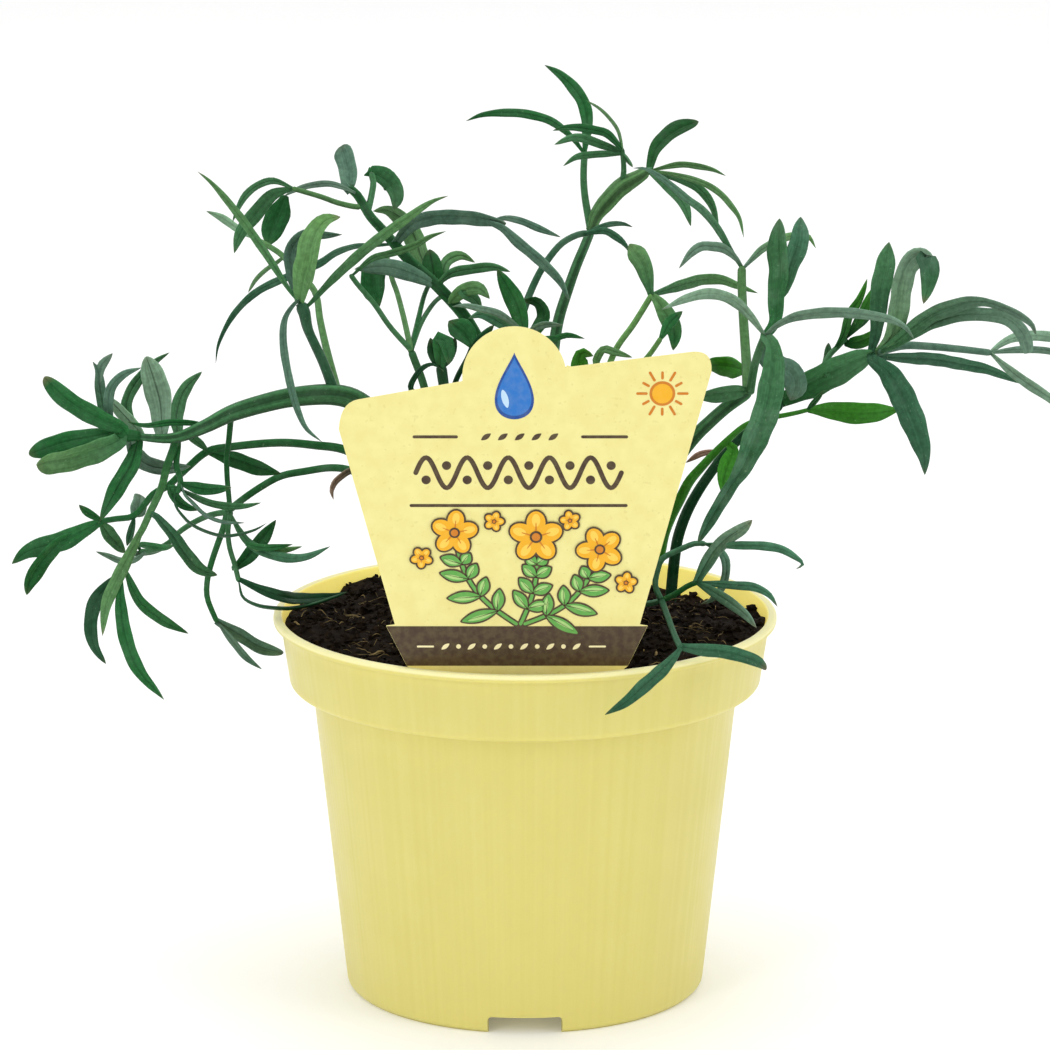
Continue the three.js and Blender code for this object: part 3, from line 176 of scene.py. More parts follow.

# %% [markdown]
# ## Two effects that many materials share
#
# Leaves, stems and bark are all built of fibres that run lengthwise, so they share one group of fine
# streaks. It takes two numbers: how far across the piece a point is, and how far along. The plant's meshes
# keep both at each point, and the pot uses its angle and height: its ribs show as faint streaks of light,
# made partly with bumps and partly with painted light.
# Peat, card, plastic and leaves also vary in soft patches, which a second group makes from noise.

# %% Streak group
STREAK_INPUTS = [("Across", "Float", 0.0), ("Along", "Float", 0.0), ("Count", "Float", 8.0),
                 ("Length", "Float", 0.12), ("Low", "Float", 0.35), ("High", "Float", 0.65)]
streaks, given, result = new_group("lengthwise streaks", STREAK_INPUTS, [("Streak", "Float")])
stretched = add_node(streaks, "CombineXYZ", {
    "X": reckon(streaks, "MULTIPLY", given.outputs["Across"], given.outputs["Count"]),
    "Y": reckon(streaks, "MULTIPLY", given.outputs["Along"], given.outputs["Length"]),
})
grain = add_node(streaks, "TexNoise", {"Vector": stretched.outputs["Vector"], "Scale": 1.0, "Detail": 3.0})
made = fit_range(streaks, grain.outputs["Fac"], given.outputs["Low"], given.outputs["High"])
streaks.links.new(made, result.inputs["Streak"])
print("group", streaks.name, "with", len(streaks.nodes), "nodes")

# %% Patch group
PATCH_INPUTS = [("Scale", "Float", 100.0), ("Detail", "Float", 3.0),
                ("Low", "Float", 0.4), ("High", "Float", 0.6)]
patches, given, result = new_group("soft patches", PATCH_INPUTS, [("Patch", "Float")])
where = add_node(patches, "TexCoord").outputs["Object"]
cloud = add_node(patches, "TexNoise", {"Vector": where, "Scale": given.outputs["Scale"],
                                       "Detail": given.outputs["Detail"]})
made = fit_range(patches, cloud.outputs["Fac"], given.outputs["Low"], given.outputs["High"])
patches.links.new(made, result.inputs["Patch"])


def patchy(tree, scale, detail, low, high):
    """Soft patches from 0 to 1, cut from the part of the noise between low and high."""
    return use_group(tree, patches, {"Scale": scale, "Detail": detail, "Low": low, "High": high})["Patch"]


print("group", patches.name, "with", len(patches.nodes), "nodes")

# %% [markdown]
# ## From points to pieces
#
# Every piece is a list of shells, and a shell is points, faces and a few named values at each point, such
# as its tint. Shells are counted in millimetres while they are shaped, and only the finished piece is
# turned into metres. The piece then rides on the frame and stands for the part that it replaces.

# %% Piece helpers
def shell(points, faces, **values):
    """Points in mm, faces, and values at each point, kept together."""
    points = np.asarray(points, float)
    return {"points": points, "faces": faces,
            "values": {name: np.broadcast_to(np.asarray(value, float), np.shape(value) or (len(points),))
                       for name, value in values.items()}}


def joined(shells):
    """Several shells as one; all of them carry the same values."""
    faces, start = [], 0
    for part in shells:
        faces += [tuple(corner + start for corner in face) for face in part["faces"]]
        start += len(part["points"])
    values = {name: np.concatenate([part["values"][name] for part in shells]) for name in shells[0]["values"]}
    return {"points": np.vstack([part["points"] for part in shells]), "faces": faces, "values": values}


def add_piece(name, shells, material, node=None, sharp=None):
    """Makes the mesh object, gives it its material, and places it in the frame."""
    whole = joined(shells)
    mesh = bpy.data.meshes.new(name)
    mesh.from_pydata((whole["points"] * MM).tolist(), [], whole["faces"])
    for label, value in whole["values"].items():
        if value.ndim == 2:
            colour = np.column_stack([value, np.ones(len(value))])
            mesh.attributes.new(label, "FLOAT_COLOR", "POINT").data.foreach_set("color", colour.ravel())
        else:
            value = np.ascontiguousarray(value)
            mesh.attributes.new(label, "FLOAT", "POINT").data.foreach_set("value", value)
    mesh.shade_smooth()
    if sharp:
        mesh.set_sharp_from_angle(angle=math.radians(sharp))
    mesh.materials.append(material)
    piece = bpy.data.objects.new(name, mesh)
    scene.collection.objects.link(piece)
    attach(piece, "root")
    if node:
        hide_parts(node)
    return piece


def read(tree, name, output="Fac"):
    """The socket of a value kept in the mesh."""
    return add_node(tree, "Attribute", attribute_name=name).outputs[output]


def ring_faces(count, sides):
    """Faces between rings of points that follow each other, each ring closed."""
    return [(r * sides + s, r * sides + (s + 1) % sides,
             (r + 1) * sides + (s + 1) % sides, (r + 1) * sides + s)
            for r in range(count - 1) for s in range(sides)]


def end_caps(count, sides):
    """Two faces that close the first and the last of a number of rings."""
    return [tuple(range(sides))[::-1], tuple(range((count - 1) * sides, count * sides))]


print("piece helpers ready")

# %% [markdown]
# ## The pot
#
# The pot is injection moulded: a tapered body, a broad collar that stiffens it, and a bright lip. Such a
# shape could be spun from its profile with a modifier. Here the rings are laid in code, because the foot
# has three notches and their edges need columns of points of their own. The inside follows the outside
# one wall thickness in, and the floor has its drain holes.

# %% Pot sizes
POT_HEIGHT = 91.5
LIP_RADIUS = 60
LIP_INNER = 57.8
COLLAR_TOP = 58.2
COLLAR_FOOT = 56.3
COLLAR_FOOT_Z = 74.7
BODY_TOP = 50.7
BODY_FOOT = 42.9
WALL = 1.2
FLOOR_Z = 4.1
PAD_RADIUS = 15
NOTCH_WIDTH = 17.8
NOTCH_CORNER = 1.2
NOTCHES = 3
NOTCH_STEPS = (-0.02, 0.001, 0.15, 0.4, 0.8, 1.2)
LIP_DEPTH = 1.9
PAD_ROUND, FOOT_ROUND, COLLAR_ROUND, LIP_ROUND, LIP_INNER_ROUND = 0.8, 1.8, 1.6, 0.7, 0.6
COLUMNS = 240
LIP_RINGS = 2
LIP_SHINE = 1.1


def arc(centre, radius, start, end, count):
    """Points of a rounded edge in the profile, angles in degrees."""
    angles = np.radians(np.linspace(start, end, count))
    return [(centre[0] + radius * math.cos(a), centre[1] + radius * math.sin(a)) for a in angles]


def straight(first, last, count):
    """Evenly spaced points between two points of the profile, ends left out."""
    return [tuple(np.array(first) + (np.array(last) - np.array(first)) * i / (count + 1))
            for i in range(1, count + 1)]


def pot_profile():
    """Radius and height of the outside from the middle of the underside up, and of the inside down."""
    lip_foot = POT_HEIGHT - LIP_DEPTH
    outside = [(0.01, 0), (PAD_RADIUS - 1, 0), *arc((PAD_RADIUS - 1, PAD_ROUND), PAD_ROUND, -90, -10, 4),
               (PAD_RADIUS + WALL, FLOOR_Z - 0.3), (PAD_RADIUS + WALL + 0.5, FLOOR_Z),
               (BODY_FOOT - WALL - 0.5, FLOOR_Z), (BODY_FOOT - WALL, FLOOR_Z - 0.4),
               (BODY_FOOT - WALL, 0.4), (BODY_FOOT - WALL + 0.3, 0),
               *arc((BODY_FOOT - FOOT_ROUND + 0.2, FOOT_ROUND), FOOT_ROUND, -90, 0, 6)]
    body = [outside[-1], (BODY_TOP, COLLAR_FOOT_Z - 1.6)]
    outside += straight(*body, 22) + [body[1], (BODY_TOP + 0.25, COLLAR_FOOT_Z - 0.7)]
    outside += [(BODY_TOP + 1, COLLAR_FOOT_Z - 0.25), (COLLAR_FOOT - 2.2, COLLAR_FOOT_Z - 0.1)]
    outside += arc((COLLAR_FOOT - COLLAR_ROUND, COLLAR_FOOT_Z + 1.5), COLLAR_ROUND, -80, 0, 7)
    outside += straight(outside[-1], (COLLAR_TOP, lip_foot - 0.4), 5) + [(COLLAR_TOP, lip_foot - 0.4)]
    outside += [(COLLAR_TOP + 0.3, lip_foot - 0.1), (LIP_RADIUS - LIP_ROUND, lip_foot)]
    outside += arc((LIP_RADIUS - LIP_ROUND, lip_foot + LIP_ROUND), LIP_ROUND, -90, 0, 4)
    outside += arc((LIP_RADIUS - LIP_ROUND, POT_HEIGHT - LIP_ROUND), LIP_ROUND, 0, 90, 5)
    inside = arc((LIP_INNER + LIP_INNER_ROUND, POT_HEIGHT - LIP_INNER_ROUND), LIP_INNER_ROUND, 90, 180, 5)
    inside += [(COLLAR_TOP - WALL, lip_foot - 0.6), (COLLAR_FOOT - WALL, COLLAR_FOOT_Z + 2.2)]
    inside += [(COLLAR_FOOT - WALL - 1, COLLAR_FOOT_Z + 1.2), (BODY_TOP - WALL, COLLAR_FOOT_Z + 0.6)]
    inside += straight(inside[-1], (BODY_FOOT - WALL, FLOOR_Z + WALL + 1.6), 6)
    inside += [(BODY_FOOT - WALL, FLOOR_Z + WALL + 1.6), (BODY_FOOT - WALL - 1.4, FLOOR_Z + WALL)]
    inside += [(PAD_RADIUS + 1, FLOOR_Z + WALL), (PAD_RADIUS - 1, WALL + 0.3), (0.01, WALL + 0.3)]
    return outside, inside


outside, inside = pot_profile()
profile = outside + inside
print("pot profile of", len(profile), "points")

# %% Pot mesh
def notch_height(turn):
    """How high the foot is cut away at an angle round the pot, 0 at the front."""
    third = 2 * math.pi / NOTCHES
    off = (turn + third / 2) % third - third / 2
    from_edge = NOTCH_WIDTH / 2 - abs(off) * BODY_FOOT
    if from_edge < 0:
        return 0.0
    corner = max(0.0, NOTCH_CORNER - from_edge)
    return FLOOR_Z - NOTCH_CORNER + math.sqrt(max(0.0, NOTCH_CORNER ** 2 - corner ** 2))


def pot_columns():
    """Angles of the upright lines of points, with extra ones where a notch's corner curves."""
    turns = list(np.linspace(0, 2 * math.pi, COLUMNS, endpoint=False))
    for k in range(NOTCHES):
        for way in (-1, 1):
            for step in NOTCH_STEPS:
                edge = (NOTCH_WIDTH / 2 - step) / BODY_FOOT
                turns.append((k * 2 * math.pi / NOTCHES + way * edge) % (2 * math.pi))
    return sorted(set(turns))


turns = pot_columns()
pot_points = []
for radius, height in profile:
    for turn in turns:
        in_foot = radius > BODY_FOOT - WALL - 0.6 and height < FLOOR_Z
        z = max(height, notch_height(turn)) if in_foot else height
        pot_points.append((radius * math.sin(turn), -radius * math.cos(turn), z))
pot_faces = ring_faces(len(profile), len(turns))
pot_faces += end_caps(len(profile), len(turns))
pot_faces = [face[::-1] for face in pot_faces]
outer_rings = len(outside) + LIP_RINGS
# Inside rings from just below the lip's top: painted brighter and glowing, as daylight through the wall.
inside_light_mask = np.repeat([0.0] * outer_rings + [1.0] * (len(profile) - outer_rings), len(turns))
# The lip's top band, painted a pale cream as light that comes through its thin plastic.
lip_light_mask = np.repeat([float(height > POT_HEIGHT - LIP_SHINE) for _, height in profile], len(turns))
print("pot with", len(pot_faces), "faces")

# %% [markdown]
# The plastic is a warm pale yellow with a satin face. The mould was cut with very fine upright ribs, which
# show as faint streaks of light, so they are a bump that depends on the angle round the pot, and faint
# lighter streaks are painted into the colour as well. A little patchy roughness keeps the long highlight
# from looking like glass. The thin wall lets daylight through. Scattering could carry all of that light.
# Here it only softens the wall, and that light is painted instead: the inside is painted a brighter yellow
# with a warm glow of its own, because the colour and strength of a glow can be set directly, and the top
# band of the lip is painted a pale cream.

# %% Pot plastic
RIBS = 168
RIB_DEPTH = 0.01
RIBS_START, RIBS_FULL = 8, 14
WALL_YELLOW, WALL_STREAK_PAINTED_LIGHT, WALL_CLOUD = screen(219, 208, 120), screen(222, 211, 126), screen(215, 203, 114)
LIP_PAINTED_LIGHT, INSIDE_PAINTED_LIGHT, INSIDE_PAINTED_GLOW = screen(246, 238, 178), screen(252, 240, 150), screen(255, 222, 96)
NO_GLOW = (0, 0, 0, 1)

# The emission is the painted glow of the inside; elsewhere the glow colour is black.
pot_plastic, tree, shader = new_material(
    "satin yellow plastic", Roughness=0.4, IOR=1.46, Specular_IOR_Level=0.45, Emission_Strength=0.36,
    Subsurface_Weight=0.35, Subsurface_Radius=(1.0, 0.9, 0.4), Subsurface_Scale=3 * MM)
place = add_node(tree, "SeparateXYZ", {"Vector": add_node(tree, "TexCoord").outputs["Object"]}).outputs
angle = reckon(tree, "ARCTAN2", place["X"], place["Y"])
rib = reckon(tree, "SINE", reckon(tree, "MULTIPLY", angle, RIBS))
outer = fit_range(tree, place["Z"], RIBS_START * MM, RIBS_FULL * MM)
turn_streaks = use_group(tree, streaks, {"Across": angle, "Along": place["Z"], "Count": 26.0, "Length": 4.0,
                                         "Low": 0.3, "High": 0.7})["Streak"]
cloudy = patchy(tree, scale=60.0, detail=2.0, low=0.3, high=0.7)
# Painted light: faint lighter upright streaks, as light caught by the ribs.
base = blend_colours(tree, turn_streaks, WALL_YELLOW, WALL_STREAK_PAINTED_LIGHT)
base = blend_colours(tree, reckon(tree, "MULTIPLY", cloudy, 0.25), base, WALL_CLOUD)
# Painted light: the top band of the lip is a pale cream.
base = blend_colours(tree, read(tree, "lip"), base, LIP_PAINTED_LIGHT)
# Painted light: the inside is a brighter yellow than the outside, and it glows, for daylight through the
# wall.
base = blend_colours(tree, read(tree, "inner"), base, INSIDE_PAINTED_LIGHT)
glow = blend_colours(tree, read(tree, "inner"), NO_GLOW, INSIDE_PAINTED_GLOW)
tree.links.new(glow, shader.inputs["Emission Color"])
tree.links.new(base, shader.inputs["Base Color"])
vary_roughness(tree, shader, cloudy, 0.36, 0.46)
ribbed = reckon(tree, "ADD", rib, reckon(tree, "MULTIPLY", turn_streaks, 1.6))
bump(tree, shader, reckon(tree, "MULTIPLY", ribbed, outer), RIB_DEPTH)
pot_shell = shell(pot_points, pot_faces, inner=inside_light_mask, lip=lip_light_mask)
pot = add_piece("moulded_pot", [pot_shell], pot_plastic, "pot", sharp=50)
print("pot", [round(value / MM, 1) for value in pot.dimensions])

# %% Drain holes
DRAINS, DRAIN_CIRCLE, DRAIN_RADIUS, DRAIN_SIDES = 8, 30, 3.5, 28


def drain(turn):
    """A rod through the floor, where a drain hole will be."""
    middle = (DRAIN_CIRCLE * math.cos(turn), DRAIN_CIRCLE * math.sin(turn))
    angles = np.linspace(0, 2 * math.pi, DRAIN_SIDES, endpoint=False)
    points = [(middle[0] + DRAIN_RADIUS * math.cos(a), middle[1] + DRAIN_RADIUS * math.sin(a), height)
              for height in (FLOOR_Z - WALL, FLOOR_Z + 2 * WALL) for a in angles]
    return shell(points, ring_faces(2, DRAIN_SIDES) + end_caps(2, DRAIN_SIDES))


rods = joined([drain((k + 0.5) / DRAINS * 2 * math.pi) for k in range(DRAINS)])
rod_mesh = bpy.data.meshes.new("drain rods")
rod_mesh.from_pydata((rods["points"] * MM).tolist(), [], rods["faces"])
rod_object = bpy.data.objects.new("drain rods", rod_mesh)
scene.collection.objects.link(rod_object)
cut = pot.modifiers.new("drain holes", "BOOLEAN")
cut.operation, cut.solver, cut.object = "DIFFERENCE", "EXACT", rod_object
drilled = bpy.data.meshes.new_from_object(pot.evaluated_get(bpy.context.evaluated_depsgraph_get()))
pot.modifiers.remove(cut)
pot.data = drilled
bpy.data.objects.remove(rod_object)
print(DRAINS, "drain holes,", len(drilled.polygons), "faces in the pot")

# %% [markdown]
# ## The peat
#
# Potting peat is a dark crumbly heap with pale root fibres and bits of wood. One sculpted surface could
# carry all of it as bumps, but the crumbs throw real shadows at the size of the picture. So a gently
# heaped body is laid first, and crumbs, fibres and chips are strewn on it from a fixed seed.

# %% Peat body
SOIL_EDGE_Z = 87
SOIL_RADIUS = 56.9
MOUNDS = [(-32, 36, 15, 2.6), (4, 4, 26, 2), (34, 38, 13, -1.4), (-54, -8, 24, 3.4), (54, -14, 24, 3)]
COARSE_SIZE, COARSE_RISE = 9, 1.1
FINE_SIZE, FINE_RISE = 2.6, 0.75
SOIL_PLAY = 0.08
SOIL_RINGS, SOIL_SIDES = 64, 150


def unevenness(x, y, size, slice_height):
    """Crumbly noise of a size in mm, read from one level slice of the noise."""
    return noise.fractal(Vector((x / size, y / size, slice_height)), 1.0, 2.0, 3)


def soil_height(x, y):
    """Height of the peat at a place, with its mounds and crumbly unevenness."""
    height = SOIL_EDGE_Z
    for mound_x, mound_y, spread, rise in MOUNDS:
        height += rise * math.exp(-((x - mound_x) ** 2 + (y - mound_y) ** 2) / spread ** 2)
    coarse, fine = unevenness(x, y, COARSE_SIZE, 3.7), unevenness(x, y, FINE_SIZE, 8.1)
    return height + COARSE_RISE * coarse + FINE_RISE * fine


def wall_inside(height):
    """Radius of the pot's inside at a height near the lip, less a hair."""
    return np.interp(height, [COLLAR_FOOT_Z + 2.2, POT_HEIGHT - 2.5, POT_HEIGHT],
                     [COLLAR_FOOT - WALL, COLLAR_TOP - WALL, LIP_INNER]) - SOIL_PLAY


def soil_points():
    """Rings from the middle of the top to the wall, then down the wall and in over the floor."""
    points = []
    around = np.linspace(0, 2 * math.pi, SOIL_SIDES, endpoint=False)
    edge = [wall_inside(soil_height(SOIL_RADIUS * math.cos(a), SOIL_RADIUS * math.sin(a))) for a in around]
    for ring in range(1, SOIL_RINGS + 1):
        radius = np.array(edge) * ring / SOIL_RINGS
        ring_places = zip(radius * np.cos(around), radius * np.sin(around))
        points += [(x, y, soil_height(x, y)) for x, y in ring_places]
    wall = [(54.6, COLLAR_FOOT_Z + 3), (BODY_TOP - WALL - 0.3, COLLAR_FOOT_Z), (BODY_FOOT - WALL - 0.4, 7.3),
            (BODY_FOOT - WALL - 1.8, FLOOR_Z + WALL + 0.3), (PAD_RADIUS, FLOOR_Z + WALL + 0.3)]
    for radius, height in wall:
        points += [(radius * math.cos(a), radius * math.sin(a), height) for a in around]
    return points


points = soil_points()
rings = len(points) // SOIL_SIDES
peat_body = shell(points, ring_faces(rings, SOIL_SIDES) + end_caps(rings, SOIL_SIDES), tone=0.5)
print("peat body with", len(points), "points")

# %% Crumbs
SEED = 7
rng = np.random.default_rng(SEED)
STAKE_REACH, STAKE_FRONT, STAKE_BACK = 32, -53, -46
CRUMBS, CRUMB_SIZE = 520, (0.6, 1.7)
SMALL_CRUMBS, SMALL_CRUMB_SIZE = 2600, (0.3, 0.8)
CRUMB_JITTER, CRUMB_LEAST, CRUMB_MOST = 0.4, 0.4, 1.9
golden = (1 + math.sqrt(5)) / 2
BALL = [(-1, golden, 0), (1, golden, 0), (-1, -golden, 0), (1, -golden, 0), (0, -1, golden), (0, 1, golden),
        (0, -1, -golden), (0, 1, -golden), (golden, 0, -1), (golden, 0, 1), (-golden, 0, -1), (-golden, 0, 1)]
BALL_FACES = [(0, 11, 5), (0, 5, 1), (0, 1, 7), (0, 7, 10), (0, 10, 11), (1, 5, 9), (5, 11, 4), (11, 10, 2),
              (10, 7, 6), (7, 1, 8), (3, 9, 4), (3, 4, 2), (3, 2, 6), (3, 6, 8), (3, 8, 9), (4, 9, 5),
              (2, 4, 11), (6, 2, 10), (8, 6, 7), (9, 8, 1)]


def finer(points, faces):
    """Splits every triangle of a ball in four."""
    points, middle, made = [tuple(point) for point in points], {}, []

    def between(a, b):
        key = (min(a, b), max(a, b))
        if key not in middle:
            middle[key] = len(points)
            spot = (np.array(points[a]) + np.array(points[b])) / 2
            points.append(tuple(spot / np.linalg.norm(spot) * np.linalg.norm(points[a])))
        return middle[key]

    for a, b, c in faces:
        ab, bc, ca = between(a, b), between(b, c), between(c, a)
        made += [(a, ab, ca), (b, bc, ab), (c, ca, bc), (ab, bc, ca)]
    return points, made


FINE_BALL, FINE_BALL_FACES = finer(BALL, BALL_FACES)


def soil_spot(reach):
    """A place on the peat inside a radius, clear of the card's stake."""
    while True:
        radius, turn = reach * math.sqrt(rng.random()), rng.random() * 2 * math.pi
        x, y = radius * math.cos(turn), radius * math.sin(turn)
        if not (abs(x) < STAKE_REACH and STAKE_FRONT < y < STAKE_BACK):
            return x, y


def crumb(size, ball, ball_faces):
    """An uneven lump of peat, partly sunk in the surface."""
    x, y = soil_spot(SOIL_RADIUS - size * 0.5)
    lump = np.array(ball, float) / np.linalg.norm(ball[0])
    lump *= np.clip(1 + CRUMB_JITTER * rng.standard_normal((len(lump), 1)), CRUMB_LEAST, CRUMB_MOST)
    squash = np.array([1.0, rng.uniform(0.6, 1), rng.uniform(0.45, 0.8)])
    turn = rng.random() * 2 * math.pi
    spin = np.array([[math.cos(turn), -math.sin(turn), 0], [math.sin(turn), math.cos(turn), 0], [0, 0, 1]])
    lump = (lump * squash * size) @ spin.T + (x, y, soil_height(x, y) + size * rng.uniform(0.0, 0.4))
    return shell(lump, ball_faces, tone=rng.random())


crumbs = [crumb(rng.uniform(*CRUMB_SIZE), FINE_BALL, FINE_BALL_FACES) for _ in range(CRUMBS)]
crumbs += [crumb(rng.uniform(*SMALL_CRUMB_SIZE), BALL, BALL_FACES) for _ in range(SMALL_CRUMBS)]
print(len(crumbs), "crumbs")

# %% Fibres and chips
FIBRES, FIBRE_LENGTH, FIBRE_RADIUS = 380, (1.5, 6), (0.05, 0.14)
CHIPS, CHIP_LENGTH, CHIP_RADIUS = 22, (2, 5), (0.25, 0.45)
FIBRE_STEPS, FIBRE_SIDES = 6, 4
FIBRE_LIFT, FIBRE_RISE, FIBRE_BEND = 0.35, 0.6, 0.1
STRAIGHT_UP = np.array([0, 0, 1.0])


def fibre(length, radius):
    """A thin root or straw that lies on the peat in a slack curve."""
    x, y = soil_spot(SOIL_RADIUS - length)
    heading, bend = rng.random() * 2 * math.pi, rng.uniform(-FIBRE_BEND, FIBRE_BEND)
    rise, rings = rng.uniform(0, FIBRE_RISE), []
    for step in range(FIBRE_STEPS + 1):
        t = step / FIBRE_STEPS
        centre = np.array([x, y, soil_height(x, y) + FIBRE_LIFT + rise * math.sin(t * math.pi)])
        thick = radius * (1 - 0.7 * abs(2 * t - 1) ** 3)
        side = np.array([-math.sin(heading), math.cos(heading), 0])
        for k in range(FIBRE_SIDES):
            a = 2 * math.pi * k / FIBRE_SIDES
            rings.append(centre + thick * (math.cos(a) * side + math.sin(a) * STRAIGHT_UP))
        x += math.cos(heading) * length / FIBRE_STEPS
        y += math.sin(heading) * length / FIBRE_STEPS
        heading += bend
    faces = ring_faces(FIBRE_STEPS + 1, FIBRE_SIDES) + end_caps(FIBRE_STEPS + 1, FIBRE_SIDES)
    return shell(rings, faces, tone=rng.random())


fibres = [fibre(rng.uniform(*FIBRE_LENGTH), rng.uniform(*FIBRE_RADIUS)) for _ in range(FIBRES)]
fibres += [fibre(rng.uniform(*CHIP_LENGTH), rng.uniform(*CHIP_RADIUS)) for _ in range(CHIPS)]
print(len(fibres), "fibres and chips")

# %% [markdown]
# Damp peat is nearly black in its hollows and warm brown where it dries. Each crumb keeps a number of
# its own, its tone, which picks a place between those two. The fibres use the same recipe in straw colours.

# %% Peat materials
PEAT_GRAIN_DEPTH = 0.35


def peat_material(name, dark, light, roughness):
    """A dull crumbly material between two screen colours; a piece's tone and soft patches pick the place."""
    material, tree, shader = new_material(name, Roughness=roughness, Specular_IOR_Level=0.1)
    cloudy = patchy(tree, scale=420.0, detail=5.0, low=0.35, high=0.68)
    share = reckon(tree, "MULTIPLY", reckon(tree, "ADD", read(tree, "tone"), cloudy), 0.5)
    tree.links.new(blend_colours(tree, share, screen(*dark), screen(*light)), shader.inputs["Base Color"])
    bump(tree, shader, cloudy, PEAT_GRAIN_DEPTH)
    return material


damp_peat = peat_material("damp peat", (7, 5, 3), (40, 29, 19), 0.9)
peat_straw = peat_material("straw in the peat", (34, 26, 17), (176, 152, 104), 0.75)
peat = add_piece("peat_body", [peat_body], damp_peat, "soil")
add_piece("peat_crumbs", crumbs, damp_peat, sharp=24)
add_piece("peat_fibres", fibres, peat_straw)
print("peat", [round(value / MM, 1) for value in peat.dimensions])

# %% [markdown]
# ## The label card
#
# A stiff card stands inside the front of the pot and leans a little forward over it. Its outline is drawn
# flat, across and up from the lip, and one function sets any flat point on the leaning card. The print is
# thin layers of ink a few hundredths of a millimetre apart, so its edges stay crisp at any distance.

# %% Card outline
CARD_LEAN = math.radians(5)
CARD_FOOT_Y, CARD_FOOT_Z = -49.5, 91
CARD_THICKNESS = 0.5
CARD_LEFT = {"foot": (-29.7, 10.2), "side": (-42, 57), "corner": (-41.6, 63.2), "top": (-37.5, 63.9)}
CARD_RIGHT = {"foot": (26.2, 10.2), "side": (41.9, 70.5), "corner": (42.2, 75.4), "top": (37.7, 75.1)}
STAKE_TIP, STAKE_LEFT, STAKE_RIGHT = (-1, -24), (-15, -9), (13, -9)
TAB_X, TAB_UP, TAB_RADIUS = -2.4, 69.3, 11.7
TAB_START, TAB_END, TAB_POINTS = math.pi * 0.06, math.pi * 1.03, 40
BAND_LEFT, BAND_RIGHT, BAND_TOP = -31.7, 28, 9.9
BAND_FOOT_LEFT, BAND_FOOT_RIGHT, BAND_FOOT = -27.1, 23.6, 0.3


def on_card(across, up, lift=0.0):
    """A flat point of the card in space; lift is how far it stands in front of the card's middle."""
    return (across, CARD_FOOT_Y - up * math.sin(CARD_LEAN) - lift * math.cos(CARD_LEAN),
            CARD_FOOT_Z + up * math.cos(CARD_LEAN) - lift * math.sin(CARD_LEAN))


def rounded(first, middle, last, count=8):
    """A curve from first to last, pulled towards the middle point."""
    first, middle, last = (np.array(point, float) for point in (first, middle, last))
    ts = np.linspace(0, 1, count)
    return [tuple((1 - t) ** 2 * first + 2 * t * (1 - t) * middle + t ** 2 * last) for t in ts]


def card_outline():
    """The card's edge, from the tip of its stake up the right side and round."""
    points = [STAKE_TIP, STAKE_RIGHT, (BAND_FOOT_RIGHT, BAND_FOOT), (BAND_RIGHT, BAND_TOP),
              CARD_RIGHT["foot"]]
    points += rounded(CARD_RIGHT["side"], CARD_RIGHT["corner"], CARD_RIGHT["top"])
    tab = np.linspace(TAB_START, TAB_END, TAB_POINTS)
    points += [(TAB_X + TAB_RADIUS + 1.2, TAB_UP + 2.3), (TAB_X + TAB_RADIUS + 0.2, TAB_UP + 2.6)]
    points += [(TAB_X + TAB_RADIUS * math.cos(a), TAB_UP + TAB_RADIUS * math.sin(a)) for a in tab]
    points += rounded(CARD_LEFT["top"], CARD_LEFT["corner"], CARD_LEFT["side"])
    return points + [CARD_LEFT["foot"], (BAND_LEFT, BAND_TOP), (BAND_FOOT_LEFT, BAND_FOOT), STAKE_LEFT]


def triangles_of(outline):
    """Flat triangles that fill an outline, as corner numbers."""
    return [tuple(face) for face in tessellate_polygon([[Vector((x, y, 0)) for x, y in outline]])]


def slab(outline, low, high):
    """A closed plate with the outline as its edge, from one lift to another."""
    count = len(outline)
    points = [on_card(x, up, low) for x, up in outline] + [on_card(x, up, high) for x, up in outline]
    front = triangles_of(outline)
    faces = [tuple(corner + count for corner in face) for face in front] + [face[::-1] for face in front]
    faces += [(k, (k + 1) % count, (k + 1) % count + count, k + count) for k in range(count)]
    return shell(points, faces)


outline = card_outline()
print("card outline of", len(outline), "points")

# %% Card material
CARD_CREAM, CARD_LIGHT, CARD_FLECK = screen(234, 223, 143), screen(239, 230, 154), screen(206, 190, 112)
label_card, tree, shader = new_material("cream card", Roughness=0.55, Specular_IOR_Level=0.4)
flecks = patchy(tree, scale=900.0, detail=2.0, low=0.64, high=0.72)
pulp = patchy(tree, scale=260.0, detail=5.0, low=0.3, high=0.7)
base = blend_colours(tree, pulp, CARD_CREAM, CARD_LIGHT)
base = blend_colours(tree, reckon(tree, "MULTIPLY", flecks, 0.25), base, CARD_FLECK)
tree.links.new(base, shader.inputs["Base Color"])
vary_roughness(tree, shader, pulp, 0.5, 0.62)
bump(tree, shader, pulp, 0.03)
card_sheet = slab(outline, -CARD_THICKNESS / 2, CARD_THICKNESS / 2)
card = add_piece("label_card_sheet", [card_sheet], label_card, "label_card", sharp=40)
print("card", [round(value / MM, 1) for value in card.dimensions])

# %% [markdown]
# ## The print on the card
#
# The print is a flower design of its own: three round blossoms on bending stalks with plain oval leaves,
# and four small blossoms beside them, over a brown band. A wave of ink and a few rules lie above it, and
# a drop and a sun near the top. It could be a picture laid on the card, but shapes need no image file.
# Flowers, leaves and stalks are brown outlines with a filling on top, as in a drawing printed in colours.

# %% Ink helpers
INK_STEP = 0.035
OVERLAP = 0.15
inks = {}


def lay_ink(colour, edge, faces, layer):
    """Lays faces of ink on the card; a higher layer lies over a lower one."""
    lift = CARD_THICKNESS / 2 + layer * INK_STEP
    inks.setdefault(colour, []).append(shell([on_card(x, up, lift) for x, up in edge], faces))


def ink(colour, outline, layer):
    """Adds a flat patch of ink inside an outline."""
    lay_ink(colour, outline, [face[::-1] for face in triangles_of(outline)], layer)


